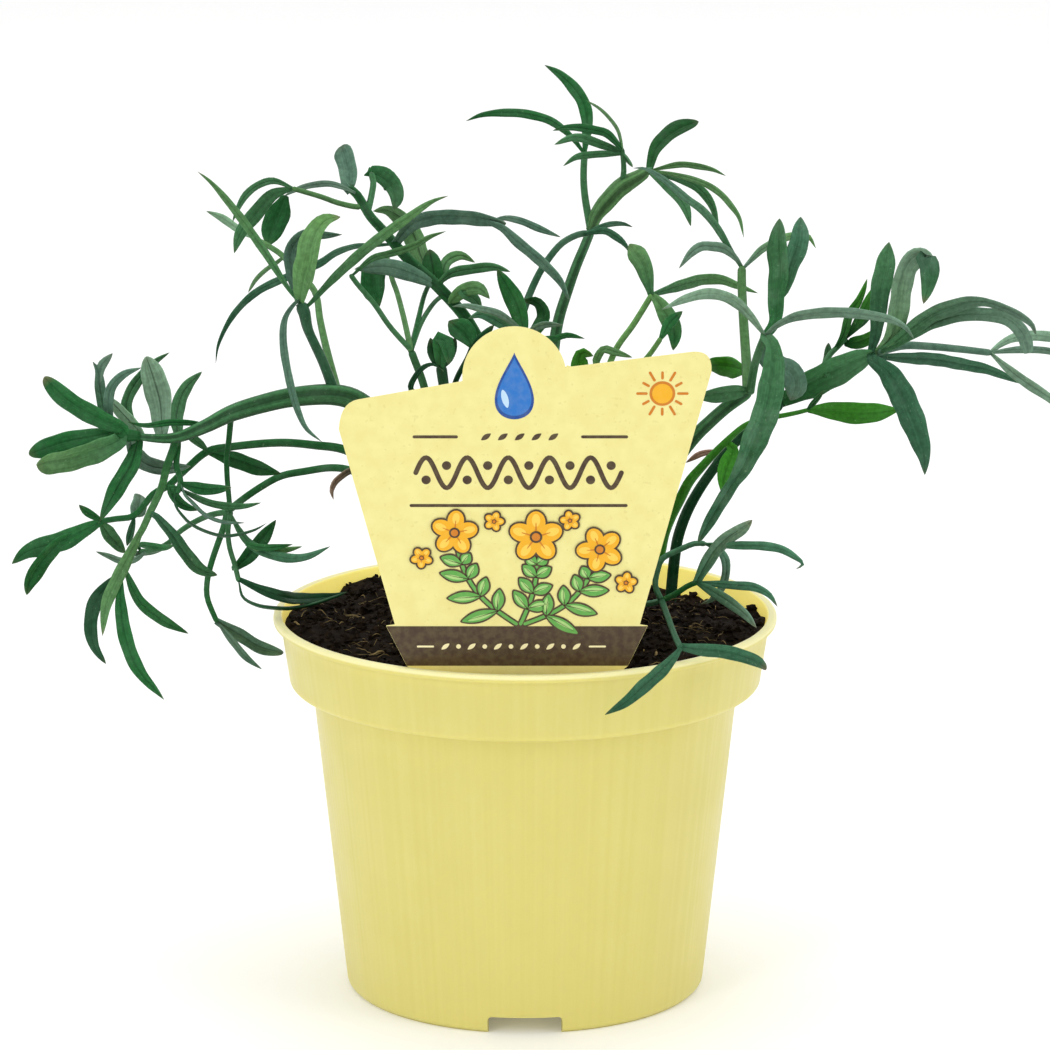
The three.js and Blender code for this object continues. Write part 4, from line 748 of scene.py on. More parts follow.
def line_of_ink(colour, points, width, layer, taper=0.0):
    """A drawn stroke with round ends along points, thinner towards its end if it tapers."""
    points = np.array(points, float)
    ahead = np.gradient(points, axis=0)
    ahead /= np.linalg.norm(ahead, axis=1)[:, None]
    normal = np.stack([-ahead[:, 1], ahead[:, 0]], axis=1)
    half = width / 2 * (1 - taper * np.linspace(0, 1, len(points)))[:, None]
    turn = np.linspace(math.pi / 2, -math.pi / 2, 9)[1:-1, None]
    last = points[-1] + half[-1] * (np.cos(turn) * ahead[-1] + np.sin(turn) * normal[-1])
    first = points[0] - half[0] * (np.cos(turn) * ahead[0] + np.sin(turn) * normal[0])
    edge = np.vstack([points + normal * half, points - normal * half, last, first])
    count, cap = len(points), len(turn)
    faces = [(k, k + 1, k + 1 + count, k + count) for k in range(count - 1)]
    faces.append((count - 1, *range(2 * count, 2 * count + cap), 2 * count - 1))
    faces.append((count, *range(2 * count + cap, 2 * count + 2 * cap), 0))
    lay_ink(colour, edge, faces, layer)


def oval(centre, long, short, angle, count=26, point=0.0):
    """An oval outline; with point above 0 its far end and near end draw in to tips."""
    ts = np.linspace(0, 2 * math.pi, count, endpoint=False)
    along = long * np.cos(ts)
    across = short * np.sin(ts) * (1 - point * np.cos(ts) ** 2)
    a = math.radians(angle)
    return [(centre[0] + u * math.cos(a) - v * math.sin(a), centre[1] + u * math.sin(a) + v * math.cos(a))
            for u, v in zip(along, across)]


def bend(first, last, sag, count=18):
    """A curved line between two points, bowed sideways by sag."""
    first, last = np.array(first, float), np.array(last, float)
    way = last - first
    side = np.array([-way[1], way[0]]) / np.linalg.norm(way)
    return [first + way * t + side * sag * math.sin(t * math.pi) for t in np.linspace(0, 1, count)]


print("ink helpers ready")

# %% Band, rules and ornament
INK_MARGIN = 0.05
BAND_LINE_UP, BAND_LINE_WIDTH = 5, 0.45
BEADS, BEAD_START, BEAD_STEP = 11, -18.2, 3
RULE_UP, LOW_RULE_UP, RULE_WIDTH = 55.2, 38.9, 0.72
SEEDS, SEED_START, SEED_STEP = 5, -8.8, 3.8

ink("brown", [(BAND_LEFT + INK_MARGIN, BAND_TOP), (BAND_RIGHT - INK_MARGIN, BAND_TOP),
              (BAND_FOOT_RIGHT - INK_MARGIN, BAND_FOOT), (BAND_FOOT_LEFT + INK_MARGIN, BAND_FOOT)], 1)
for start, end in ((-24.5, -21), (14.8, 18.3)):
    line_of_ink("cream", bend((start, BAND_LINE_UP), (end, BAND_LINE_UP), 0), BAND_LINE_WIDTH, 2)
for k in range(BEADS):
    spot = (BEAD_START + BEAD_STEP * k, BAND_LINE_UP)
    ink("cream", oval(spot, 0.55, 0.55, 0, 14) if k % 2 else oval(spot, 1.15, 0.5, 38, 16, 0.5), 2)
for start, end, up in ((-25, -15.5, RULE_UP), (13, 22.9, RULE_UP), (-25.8, 22.9, LOW_RULE_UP)):
    line_of_ink("brown", bend((start, up), (end, up), 0), RULE_WIDTH, 1)
for k in range(SEEDS):
    ink("brown", oval((SEED_START + SEED_STEP * k, RULE_UP), 1.35, 0.6, 35, 18, 0.6), 1)
print("band and rules drawn")

# %% Wave
WAVE_START, WAVE_END, WAVE_POINTS = -24.7, 21.8, 120
WAVE_LOW, WAVE_HIGH, WAVE_LENGTH, WAVE_WIDTH = 42.6, 50.8, 9.3, 1.1
DOTS, DOT_OFFSET, DOT_RADIUS = 10, 1.7, 1.05

wave_middle, wave_rise = (WAVE_LOW + WAVE_HIGH) / 2, (WAVE_HIGH - WAVE_LOW) / 2 - 0.5
wave = [(x, wave_middle + wave_rise * math.sin(2 * math.pi * (x - WAVE_START) / WAVE_LENGTH))
        for x in np.linspace(WAVE_START, WAVE_END, WAVE_POINTS)]
line_of_ink("brown", wave, WAVE_WIDTH, 1)
for k in range(DOTS):
    spot = (WAVE_START + WAVE_LENGTH * (0.25 + 0.5 * k), wave_middle - (-1) ** k * DOT_OFFSET)
    ink("brown", oval(spot, DOT_RADIUS, DOT_RADIUS, 0, 18), 1)
print("wave drawn with", DOTS, "dots")

# %% Blossoms and leaves
OUTLINE = 0.42
PETALS = 5


def leaf_print(base, angle, length, width):
    """An oval printed leaf: outline, filling, lighter half and midrib."""
    a = math.radians(angle)
    middle = (base[0] + math.cos(a) * length / 2, base[1] + math.sin(a) * length / 2)
    tip = (base[0] + math.cos(a) * length * 0.86, base[1] + math.sin(a) * length * 0.86)
    ink("brown", oval(middle, length / 2 + OUTLINE * 0.8, width / 2 + OUTLINE, angle, 30, 0.45), 4)
    ink("green", oval(middle, length / 2 - 0.1, width / 2, angle, 30, 0.5), 5)
    shine = (middle[0] - math.sin(a) * width * 0.12, middle[1] + math.cos(a) * width * 0.12)
    ink("light green", oval(shine, length * 0.33, width * 0.2, angle, 22, 0.4), 6)
    line_of_ink("brown", bend(base, tip, 0.1, 8), 0.2, 7, 0.8)


def blossom(centre, size, turn):
    """A round five-petalled flower with a dotted heart."""
    for k in range(PETALS):
        angle = turn + 360 / PETALS * k
        a = math.radians(angle)
        petal = (centre[0] + math.cos(a) * size * 0.56, centre[1] + math.sin(a) * size * 0.56)
        ink("brown", oval(petal, size * 0.46 + OUTLINE, size * 0.36 + OUTLINE, angle, 24), 8 + k * OVERLAP)
        ink("yellow", oval(petal, size * 0.46, size * 0.36, angle, 24), 9 + k * OVERLAP)
        glow = (centre[0] + math.cos(a) * size * 0.66, centre[1] + math.sin(a) * size * 0.66)
        ink("light yellow", oval(glow, size * 0.26, size * 0.16, angle, 16), 10)
        line_of_ink("orange", bend(centre, petal, 0, 6), size * 0.09, 11, 0.7)
    ink("brown", oval(centre, size * 0.24, size * 0.24, 0, 18), 12)
    ink("orange", oval(centre, size * 0.16, size * 0.16, 0, 16), 13)


STALKS = [((-2, 10.5), (-16, 31.5), 3.2), ((-1, 10.5), (2.5, 30), -1.5), ((0, 10.5), (17, 27.5), -3.4)]
STALK_OUTLINE, STALK_FILLING = 1.5, 0.75
LEAF_WIDTH, INNER_LEAF_SHARE = 2.5, 0.62
for k, (base, head, sag) in enumerate(STALKS):
    line_of_ink("brown", bend(base, head, sag), STALK_OUTLINE, 2 + k * OVERLAP)
    line_of_ink("green", bend(base, head, sag), STALK_FILLING, 3 + k * OVERLAP)
for k, (base, head, sag) in enumerate(STALKS):
    course = bend(base, head, sag, 21)
    for at, reach in ((4, 8.5), (8, 7.5), (12, 6.5), (15, 5)):
        spot, ahead = course[at], course[at + 1]
        heading = math.degrees(math.atan2(ahead[1] - spot[1], ahead[0] - spot[0]))
        for way in (-1, 1):
            inner = (k == 0 and way == -1) or (k == 2 and way == 1) or k == 1
            length = reach * (INNER_LEAF_SHARE if inner else 1)
            leaf_print(spot, heading + way * (52 + 3 * at % 7), length, LEAF_WIDTH)
for x, up, size, turn in ((-16, 32.5, 5.2, 12), (2.5, 31.5, 6, 90), (17, 28.5, 5.2, 40), (-7, 35.2, 2.2, 0),
                          (10.2, 35.4, 2.2, 30), (-23.5, 26.5, 2.4, 50), (23, 20.5, 2.4, 10)):
    blossom((x, up), size, turn)
print("flower design drawn")

# %% Drop and sun
DROP = (-2.4, 67.2)


def drop_outline(size, centre):
    """A falling drop: round below, drawn up to a tip."""
    points = []
    for t in np.linspace(0, 2 * math.pi, 48, endpoint=False):
        narrow = math.sin(t / 2) ** 1.5
        points.append((centre[0] + size * math.sin(t) * narrow, centre[1] + size * 1.25 * math.cos(t)))
    return points


ink("deep blue", drop_outline(6.3, DROP), 1)
ink("blue", drop_outline(5.5, (DROP[0], DROP[1] - 0.15)), 2)
ink("pale blue", oval((DROP[0] - 2.1, DROP[1] - 3), 2.2, 0.75, 105, 20, 0.2), 3)
SUN, RAYS, RAY_WIDTH = (30.9, 65.4), 12, 0.6
RAY_START, LONG_RAY, SHORT_RAY = 3.6, 5.6, 4.9
for k in range(RAYS):
    a = 2 * math.pi * k / RAYS
    ray = np.linspace(RAY_START, SHORT_RAY if k % 2 else LONG_RAY, 5)
    line_of_ink("orange", [(SUN[0] + r * math.cos(a), SUN[1] + r * math.sin(a)) for r in ray], RAY_WIDTH, 1)
ink("orange", oval(SUN, 2.9, 2.9, 0, 32), 1)
ink("yellow", oval(SUN, 2.3, 2.3, 0, 32), 2)
print("drop and sun drawn")

# %% Ink materials
INK_COLOURS = {"brown": (72, 55, 42), "cream": (250, 240, 190), "green": (96, 168, 78),
               "light green": (168, 210, 128), "yellow": (240, 176, 34), "light yellow": (252, 206, 84),
               "orange": (206, 122, 30), "deep blue": (26, 74, 150), "blue": (44, 116, 196),
               "pale blue": (190, 220, 244)}
PULP_TINT, PULP_SHARE = (250, 242, 164), 0.05


def ink_material(colour):
    """Flat ink that lets a little of the card's pulp through."""
    material, tree, shader = new_material(colour + " ink", Roughness=0.5, Specular_IOR_Level=0.25)
    pulp = patchy(tree, scale=700.0, detail=4.0, low=0.3, high=0.75)
    full, beneath = screen(*INK_COLOURS[colour]), screen(*PULP_TINT)
    thin = tuple((1 - PULP_SHARE) * value + PULP_SHARE * under for value, under in zip(full, beneath))
    tree.links.new(blend_colours(tree, pulp, full, thin), shader.inputs["Base Color"])
    vary_roughness(tree, shader, pulp, 0.4, 0.52)
    bump(tree, shader, pulp, 0.01)
    return material


for colour, shells in inks.items():
    add_piece("print_" + colour.replace(" ", "_"), shells, ink_material(colour))
print(len(inks), "inks printed")

# %% [markdown]
# ## How the plant is laid out
#
# The plant was measured as it is seen from the front: every stalk and leaf is a line of points across and
# up from the middle of the view, with distances away: how far it lies beyond the pot's axis, or, below 0,
# how far on this side of it. Each entry names the tint, the thickness or width, the distances away from
# base to tip, and the line itself, all in millimetres at the pot's axis. The plant could be sculpted by
# hand, but a written line can be corrected by a number. A spray says what it grows on, so that its base
# can be set exactly on that stalk.

# %% Words of the layout
PLANT = {}


def stalk(tint, diameters, away, *points):
    """A stalk: its tint, its diameters and distances away from base to end, and its line."""
    return "stalks", (tint, diameters, away, points)


def sheath(recipe, width, away, *points):
    """A thick leaf base that wraps a stem."""
    return "sheaths", (recipe, width, away, points)


def blade(recipe, width, away, *points):
    """A leaf blade: recipe words, width at its widest, distances away, and its line."""
    return "blades", (recipe, width, away, points)


def grow(name, finish, grows_on, *shoots):
    """Adds a part to the layout, with what it grows on, if anything."""
    PLANT[name] = {"finish": finish, "grows_on": grows_on, "stalks": [], "sheaths": [], "blades": []}
    for kind, shoot in shoots:
        PLANT[name][kind].append(shoot)


print("words of the layout ready")

# %% [markdown]
# Three short woody rootstocks stand in the peat behind the card. They could be left out, since the card
# hides them from the front, but from the side the stems would then rise out of nothing.

# %% Rootstocks
grow("crown_left", "crown", None,
     stalk("bark", [4, 10, 9, 6], [10, 4.5], (-16, -41), (-15.5, -30), (-16, -18.5)))
grow("crown_centre", "crown", None,
     stalk("bark", [4, 11, 10, 7], [15.7, 10.4], (2, -40), (2.5, -29), (2, -17)))
grow("crown_right", "crown", None,
     stalk("bark", [4, 10, 9, 6], [13.7, 8.4], (22, -40), (21.5, -29), (22, -17.5)))
print("with the rootstocks:", len(PLANT), "parts")

# %% [markdown]
# Five stems carry most of the sprays. The leaflets that sprout straight from a stem belong to its part, and
# so does the dark sheath at the back right, a broad leaf base that wraps the stem. Each could be a piece of
# its own, but on the plant they are one growth.

# %% Stems
grow("stem_left", "stem", "crown_left",
     stalk("green", [5.6, 5.4, 5.2, 4.2, 1.4], [5, -2, -8, -14, -22], (-16.5, -19), (-21, -5), (-27, 10),
           (-33, 23), (-40, 29.5), (-45, 31), (-55, 30.5), (-62, 29), (-70, 26.5), (-76, 23.5),
           (-83, 20.8), (-90, 20.8), (-94, 21.5)),
     blade("pale", 3.5, [-20, -12], (-91, 21.5), (-95, 26), (-99.3, 30.5)),
     blade("green", 2.4, [-18, -4], (-92, 21.5), (-94.8, 27.5), (-94.3, 30.5), (-92, 34.5), (-88, 38.8),
           (-84.5, 41)),
     blade("silver spoon", 6.2, [-15, -10, -16], (-86, 21), (-86.7, 29), (-88, 34), (-90, 40)),
     blade("green", 3.4, [-14, 4], (-83.1, 21), (-82.9, 26), (-81.8, 30.5), (-79.9, 33.5), (-76.8, 36.4)),
     blade("dark", 1.5, [-14, -24], (-77, 24), (-84, 24.4), (-90, 23.7), (-94.5, 24.5)),
     blade("dark", 4.2, [-19, -26], (-91.5, 21), (-93.5, 14.5), (-96.5, 9.5), (-99.2, 4.5), (-101, 1)),
     blade("grey", 4, [-21, -4], (-94, 21), (-92.5, 16.5), (-89, 14), (-84, 13.4), (-79.5, 14)))
grow("stem_arching", "stem", "crown_centre",
     stalk("dark", [4.4, 3.8, 3, 2.7, 2], [9, 5, 2, 6, 16], (0, -18), (-4, 0), (-7, 20), (-9, 38),
           (-13.6, 48.3), (-20.1, 55.9), (-28.1, 63.4), (-34, 70.2), (-36.8, 73.3), (-40, 78.5),
           (-41.9, 80.1)),
     blade("green", 2.6, [6, 2, -2], (-20.8, 57), (-17.7, 59.8), (-12.2, 61), (-7.4, 61.4), (-3.5, 60.2)),
     blade("green sage", 2.6, [8, 16], (-20.6, 57), (-18.5, 62.6), (-15.4, 64), (-11.9, 62.4)),
     blade("forest", 4.8, [7, 12], (-21.5, 57.5), (-22, 61), (-22.7, 65.5)),
     blade("sage", 5.5, [8, 24, 30], (-22.5, 58.5), (-25, 64.5), (-26.5, 69), (-29.5, 73), (-33, 74.9),
           (-36, 74.6)))
grow("stem_tall", "stem", "crown_centre",
     stalk("green", [4.4, 3.6, 3.2, 2.6, 2.2], [11, 8, 9, 12, 18], (3, -18), (4, 0), (5, 20), (6.9, 42.3),
           (8.1, 49.1), (10.1, 55.5), (12.2, 61.5), (14.2, 66.3), (15.8, 70.3)),
     stalk("sage", [2.4, 4.2, 4.4, 2.6], [18, 20], (15.8, 70.3), (17, 73.5), (19.8, 77), (22.9, 80.2),
           (26.9, 82.6), (29.3, 84.2)))
grow("stem_right", "stem", "crown_right",
     stalk("green", [4, 3.6, 3.2, 2.8], [9, 0, -9, -14], (22.5, -18), (25, -6), (31, 8), (39.9, 20.4),
           (43.9, 24.4), (47.9, 27.9), (51.9, 30.7), (53.5, 31.9)))
grow("stem_back_right", "leaf_dark", None,
     stalk("deep", [2.8, 2.7, 2.6, 2.2, 3], [37, 30, 23, 16, 10], (34, -27), (34.8, -16), (35.5, -8.7),
           (36.4, -3), (38.5, 3), (41.2, 8), (44.6, 13), (47.6, 17), (51, 20.5), (56, 25), (61, 29.2)),
     sheath("forest green", 7.6, [10, 5], (60.5, 29), (65, 32), (70, 34.8), (75, 37.4), (80, 39.8),
            (84, 41.2)))
print("with the stems:", len(PLANT), "parts")

# %% [markdown]
# On the left the sprays reach out and hang past the lip. A spray could be one branching mesh, but a list of
# stalks and a list of leaflets is easier to correct, because each line can be moved alone. A few leaflets
# are seen nearly edge on. They are narrow in the layout, and the blade recipe widens and turns them.

# %% Leaves on the left
grow("leaf_left_tip", "leaf_dark", "stem_left",
     stalk("dark", [2.4, 3.4, 2.6], [-22, -24], (-92, 21), (-96, 21.4), (-99, 22)),
     blade("dark round dry", 4.3, [-24, -34], (-95, 22.4), (-100.5, 25), (-108.5, 29.7), (-114.2, 35.2)),
     blade("dark blunt", 4.6, [-24, -28], (-98, 21.4), (-105, 20.5), (-110, 19.5), (-117.9, 16.8)),
     blade("green sage round", 5.6, [-25, -36], (-96.4, 20.3), (-100.4, 18.3), (-104.8, 16.8),
           (-108.9, 15.6), (-113.3, 14.8), (-116, 14.2)),
     blade("green slate", 2.4, [-23, -19], (-98, 23), (-99.8, 26.5), (-101, 32), (-101.5, 36.5),
           (-102.7, 38.8)),
     blade("grey", 2.2, [-20, -18], (-101, 33), (-100.7, 37.5), (-98, 40.8)),
     blade("slate", 2.4, [-23, -30], (-98, 22.5), (-99, 27), (-98.5, 32.5), (-95.5, 35.8), (-91.2, 37.4)))
grow("leaf_left_hanging", "leaf_dark", "stem_left",
     stalk("dark sage", [2, 1.7, 1.4], [-16, -19, -23], (-83.4, 18.4), (-85, 14), (-86.3, 9), (-88.1, 4.9),
           (-89.2, 2.7), (-90.8, -0.9), (-93, -4.5), (-95.3, -9), (-96.3, -12)),
     blade("sage dry", 3, [-22, -26], (-91.5, -2), (-95, -9), (-97.5, -14), (-99.5, -19), (-100.4, -26.3)),
     blade("deep", 3.7, [-23, -20], (-96.2, -11.5), (-101.5, -17.5), (-103, -23), (-102.3, -28.5),
           (-99.6, -33)),
     blade("dark", 3.2, [-23, -27], (-95.7, -12), (-96, -20), (-94.7, -27.5), (-91.8, -34.5),
           (-85.8, -41.5)),
     blade("dark", 2.8, [-22, -8], (-95, -11), (-91.5, -18), (-86.5, -22.3), (-80, -25.8)),
     blade("moss green spear", 3.4, [-20, -8], (-88.1, 2.4), (-86, 0.2), (-83.8, -2.4), (-81.2, -6.3),
           (-78.1, -10), (-75.7, -11.3), (-73.1, -11.9)))
grow("leaf_left_fan", "leaf_dark", "stem_left",
     stalk("dark", [1.6, 1.3], [-15, -17], (-82.5, 18.5), (-82.8, 14), (-81.8, 10.5), (-82.6, 7.5)),
     blade("dark", 2.2, [-17, -12], (-84.4, 9.2), (-82.5, 5.8), (-80.5, 4.3), (-77.6, 3.5)),
     blade("deep", 1, [-17, -19], (-83.4, 6.9), (-82.9, 4.3), (-81.3, 2.1), (-79.6, 0.4), (-75.4, -1.7),
           (-71, -2.6), (-64.3, -1.2), (-61.3, 0.5)),
     blade("slate", 0.9, [-17, -22], (-82.2, 10.4), (-80.9, 7.3), (-78.9, 5.2), (-76.5, 2.8), (-73.5, 1.2),
           (-70.4, 0.6), (-66.5, 0.5)),
     blade("dark", 2.6, [-17, -25], (-81.9, 10), (-76.4, 8.7), (-69.8, 8.9)),
     blade("green", 1.8, [-17, -16], (-82, 8.6), (-75.5, 5.4), (-71, 4.5), (-66.6, 4.5), (-62.7, 5.3)))
grow("leaf_left_long", "leaf_dark", "crown_left",
     stalk("dark", [3, 2.4, 2, 1.8, 1.4], [4, 2, 4, 6, 8], (-17.5, -19.5), (-24, -3), (-33, 12),
           (-42.5, 17.8), (-50, 19), (-58, 19.6), (-70, 18.6), (-75.3, 17.6), (-80.9, 13), (-85, 9.2),
           (-88.1, 7.6), (-93, 2.2), (-97.1, 1.5), (-101.1, 0.9)),
     blade("dark", 4.8, [8, 12], (-100, 1), (-104.5, -1.2), (-109.2, -3.6), (-114, -5), (-118.4, -6.4),
           (-121.9, -9.2)),
     blade("dark spear", 4, [10, 7], (-105.6, -2.2), (-109.9, -3.6), (-113.7, -7.3), (-116.4, -11),
           (-118, -14.1), (-118.4, -16.6)),
     blade("dark", 3.6, [6, 12], (-75, 17), (-69, 15.7), (-64, 13.9), (-58, 12.2)),
     blade("green", 2, [6, -1], (-75.5, 18), (-78, 20), (-81, 21.5)),
     blade("grey round", 4, [9, 14], (-92.6, 2.6), (-91.8, 4.6), (-91.3, 7)),
     blade("deep", 1.7, [7, 15], (-93, 1.5), (-93.6, -1.4), (-94.6, -5)),
     blade("dark", 2, [8, 3], (-100.5, 1), (-104, 3), (-106, 4.8)),
     blade("green", 3.4, [8, 18], (-101, 0.8), (-98.5, -2.8), (-95, -6.6)))
grow("leaf_left_arched", "leaf_grey", "crown_left",
     stalk("dark", [2.4, 2, 1.8, 1.7], [6, 12, 20, 26], (-18, -20), (-25, -5), (-34, 9), (-41.5, 13),
           (-46, 13.6), (-52, 12.8), (-58, 11.6), (-63, 8.9), (-68, 5.4), (-70.7, 3.1)),
     stalk("dark", [1.6, 1.3], [26, 30], (-70.7, 3.1), (-71.7, -0.9), (-73.3, -5.4), (-74.6, -9.4),
           (-75.5, -13.5), (-75.5, -17.1), (-74.2, -20.7), (-73.1, -23.1)),
     stalk("green", [1.5, 1.2], [26, 32], (-70.7, 3.1), (-74.6, 2.4), (-78.7, 0.6), (-82.3, -1.8),
           (-84.5, -4.1), (-88.1, -5.9), (-91.7, -6.3)),
     blade("slate blunt", 3, [30, 36], (-73, -22.5), (-67.5, -26.1), (-63, -28.8), (-57.4, -30.4)),
     blade("grey slate", 1.8, [30, 26], (-73, -23.5), (-69.3, -27.9), (-66.2, -31.5), (-62.5, -34.3)),
     blade("dark", 1.8, [31, 24], (-91.8, -4.8), (-88.8, -4.9), (-85.5, -5.3), (-83, -4.6)),
     blade("grey", 1.5, [31, 38], (-93, -6.9), (-89.7, -6.5), (-86, -6)),
     blade("grey", 1.7, [31, 27], (-89.9, -6.6), (-92.6, -8.3), (-96.2, -8.5), (-98.9, -7.4), (-102, -6.3)),
     blade("deep husk", 1.6, [12, 8], (-41.9, 12.8), (-43.7, 11.6), (-45.3, 10.1), (-46, 8), (-45.5, 6)))
grow("leaf_left_drop", "leaf_dark", "stem_left",
     stalk("dark", [1.5, 1.2], [-10, -4, -2], (-70, 24.5), (-70.4, 20.2), (-70.9, 16), (-70.8, 11.2),
           (-70.4, 6.7), (-70, 2.7)),
     stalk("green", [1.2, 1.2], [-2, -4], (-70, 2.7), (-70.6, -1.4), (-70.2, -5.4), (-69, -9.4),
           (-68, -13.5)),
     blade("deep", 1.3, [-4, -6, 6, 10], (-68, -13.5), (-67.1, -17.1), (-63.9, -19), (-58.5, -19.8),
           (-54.1, -19.6), (-49.6, -18.6), (-45, -17), (-42.2, -15.8)),
     blade("deep", 3, [-4, -6, 8, 14], (-67.5, -12.6), (-63, -15.3), (-58.5, -16.9), (-54, -17.6),
           (-49.6, -17.4), (-45, -16.8), (-42.2, -15.9)),
     blade("dark", 3.2, [-3, 6], (-69.3, -10.5), (-66, -7.5), (-62.3, -3), (-59.2, 1.2)),
     blade("green teal", 2.3, [-2, -8], (-69.8, 2.6), (-68.4, -0.5), (-66.2, -3.7), (-63.5, -5.7),
           (-59.9, -7.2), (-55.8, -7.9), (-51.8, -7.5), (-46.3, -5.1)),
     blade("sage", 1.6, [-5, -2], (-65, -5), (-62, -6.2), (-57, -5.9), (-52.9, -5.1)),
     blade("dark", 1.6, [-6, -5], (-66.5, -4.4), (-62.5, -5.4), (-58.5, -5.2), (-55.2, -4.6)))
print("with the low left sprays:", len(PLANT), "parts")

# %% [markdown]
# The leaves above them grow on the left stem and on the arching one. Many sit straight on the stem, so they
# have leaflets and no stalk.

# %% Leaves at the upper left
grow("leaf_high_left", "leaf_dark", "stem_left",
     stalk("moss", [2.6, 2.3, 2.2, 3.2], [-9, -11, -13], (-45.5, 32), (-48, 38.8), (-50, 43.1),
           (-51.6, 46.7), (-52.6, 51.1), (-53.6, 52.7)),
     blade("green sage dry", 2, [-13, -22], (-53.8, 52.8), (-56.6, 56.7), (-61.7, 64.6), (-68.1, 73.7),
           (-74.5, 81.3), (-77.8, 84)),
     blade("sage lime dry", 6, [-13, -20, -16], (-53.5, 52.8), (-53, 57), (-51.5, 63), (-50.3, 68.5),
           (-47.5, 72.3), (-43.9, 73.2)),
     blade("slate", 3, [-12, -5, -9], (-53.6, 53), (-55.5, 60), (-55.3, 66), (-52, 69), (-47.5, 69),
           (-43.5, 69)),
     blade("green sage dry", 2.5, [-13, -22, -28], (-51.8, 51.9), (-45.8, 58.2), (-37.5, 65.8),
           (-28.4, 72.6), (-22, 76.9), (-18.3, 78.2)),
     blade("slate", 2, [-14, -23, -24], (-54, 53.2), (-56.8, 49.5), (-57.4, 44.3), (-55.8, 34),
           (-53.6, 26.4), (-51.8, 22.8), (-48.2, 19.7)))
grow("leaf_high_pale", "leaf_grey", "stem_left",
     stalk("sage", [2, 1.6, 1.3], [-6, 8, 18], (-44.6, 32), (-46.8, 40.4), (-48, 45.5), (-48.8, 49.5),
           (-49.4, 53.9), (-50.4, 56.3), (-54.6, 60.6), (-57.8, 64.2), (-61.1, 66.4), (-65, 68.5)),
     blade("pale", 2, [18, 24], (-64, 68), (-68.1, 70.2), (-72.1, 73), (-75.7, 74.6)),
     blade("sage", 1.3, [16, 12], (-57.6, 63.6), (-61.7, 60.6), (-64.1, 58.2), (-65.8, 55.2)))
grow("leaf_arch_end", "leaf_grey", "stem_arching",
     blade("slate paddle", 4.6, [17, 26], (-41.9, 80), (-41.9, 83.3), (-42.5, 86.5), (-43.6, 90)))
grow("leaf_arch_folded", "leaf_dark", "stem_arching",
     blade("grey", 1.5, [14, 32], (-40.6, 79), (-45.8, 80.9), (-49.8, 80.8), (-53.8, 79.8), (-57.5, 78)),
     blade("dark", 6, [32, 36], (-56.6, 78.6), (-58.2, 75), (-59.8, 71), (-61.2, 66.3)))
grow("leaf_arch_bright", "leaf_green", "stem_arching",
     stalk("sage", [1.4, 1.2], [14, 4], (-39.2, 75.6), (-44.3, 76.5), (-48.2, 77.9), (-52.2, 79.1),
           (-55.4, 80)),
     blade("green", 1.7, [4, -2], (-54.6, 80), (-59.8, 81.7), (-63.3, 80.7), (-66.1, 78.5), (-67.9, 75.7),
           (-69.5, 72)),
     blade("green", 3.6, [4, 6], (-56, 80), (-60, 78.5), (-64, 74), (-67.5, 69.5), (-69.1, 64.6)))
grow("leaf_arch_upper", "leaf_green", "stem_arching",
     stalk("green", [1.6, 1.5], [14, 20], (-37.2, 74), (-36.4, 78.5), (-36, 81.6), (-36.6, 83.7)),
     blade("dark green", 5.2, [20, 26, 22], (-37.4, 83.9), (-34.5, 82.9), (-32.1, 80.9), (-30.9, 78),
           (-31.1, 75)))
grow("leaf_arch_long", "leaf_grey", "stem_arching",
     blade("moss", 2, [10, 24, 34, 38], (-31, 66.6), (-36.3, 66.4), (-40.3, 66.2), (-45, 64.6),
           (-48.6, 62.2), (-54.8, 59.6), (-62.9, 55.9), (-66.9, 52.7), (-70.1, 48.7), (-72.9, 42.7),
           (-73.5, 38.4)))
grow("leaf_arch_grey", "leaf_grey", "stem_arching",
     blade("slate", 4.2, [5, -3], (-21.5, 56.6), (-27, 59.6), (-33, 61.3), (-40.5, 60.8)))
grow("leaf_arch_forked", "leaf_grey", "stem_arching",
     blade("slate blunt", 3.2, [9, -2, -9], (-31.2, 67), (-26.9, 71.4), (-22.9, 72.9), (-18.5, 73.3),
           (-13, 73.1), (-8.2, 72.4), (-4.5, 71.6)),
     blade("slate", 1.8, [-8, -10], (-8, 72.6), (-5, 72.9), (-1, 72.2), (2.9, 70.6), (8.5, 68.4)),
     blade("slate", 2.6, [-8, -16], (-8.5, 72), (-5.4, 70.6), (-1.8, 67.4), (2.1, 64.2), (5.7, 61),
           (8.5, 57.8), (10.6, 53.2)))
grow("leaf_arch_wavy", "leaf_green", "stem_arching",
     blade("sage", 3.4, [3, -3], (-17.5, 53), (-14.5, 55.8), (-11, 56.2), (-8.4, 53.8)),
     blade("green", 3.2, [0, 4], (-15, 55.2), (-12.4, 53.8), (-10.4, 51.4)))
print("with the upper left sprays:", len(PLANT), "parts")

# %% [markdown]
# The leaves in the middle rise from the rootstocks behind the card, and small dark ones crowd round its tab.
# They overlap so much that their distances away need care: each crossing has a leaf in front and one behind.

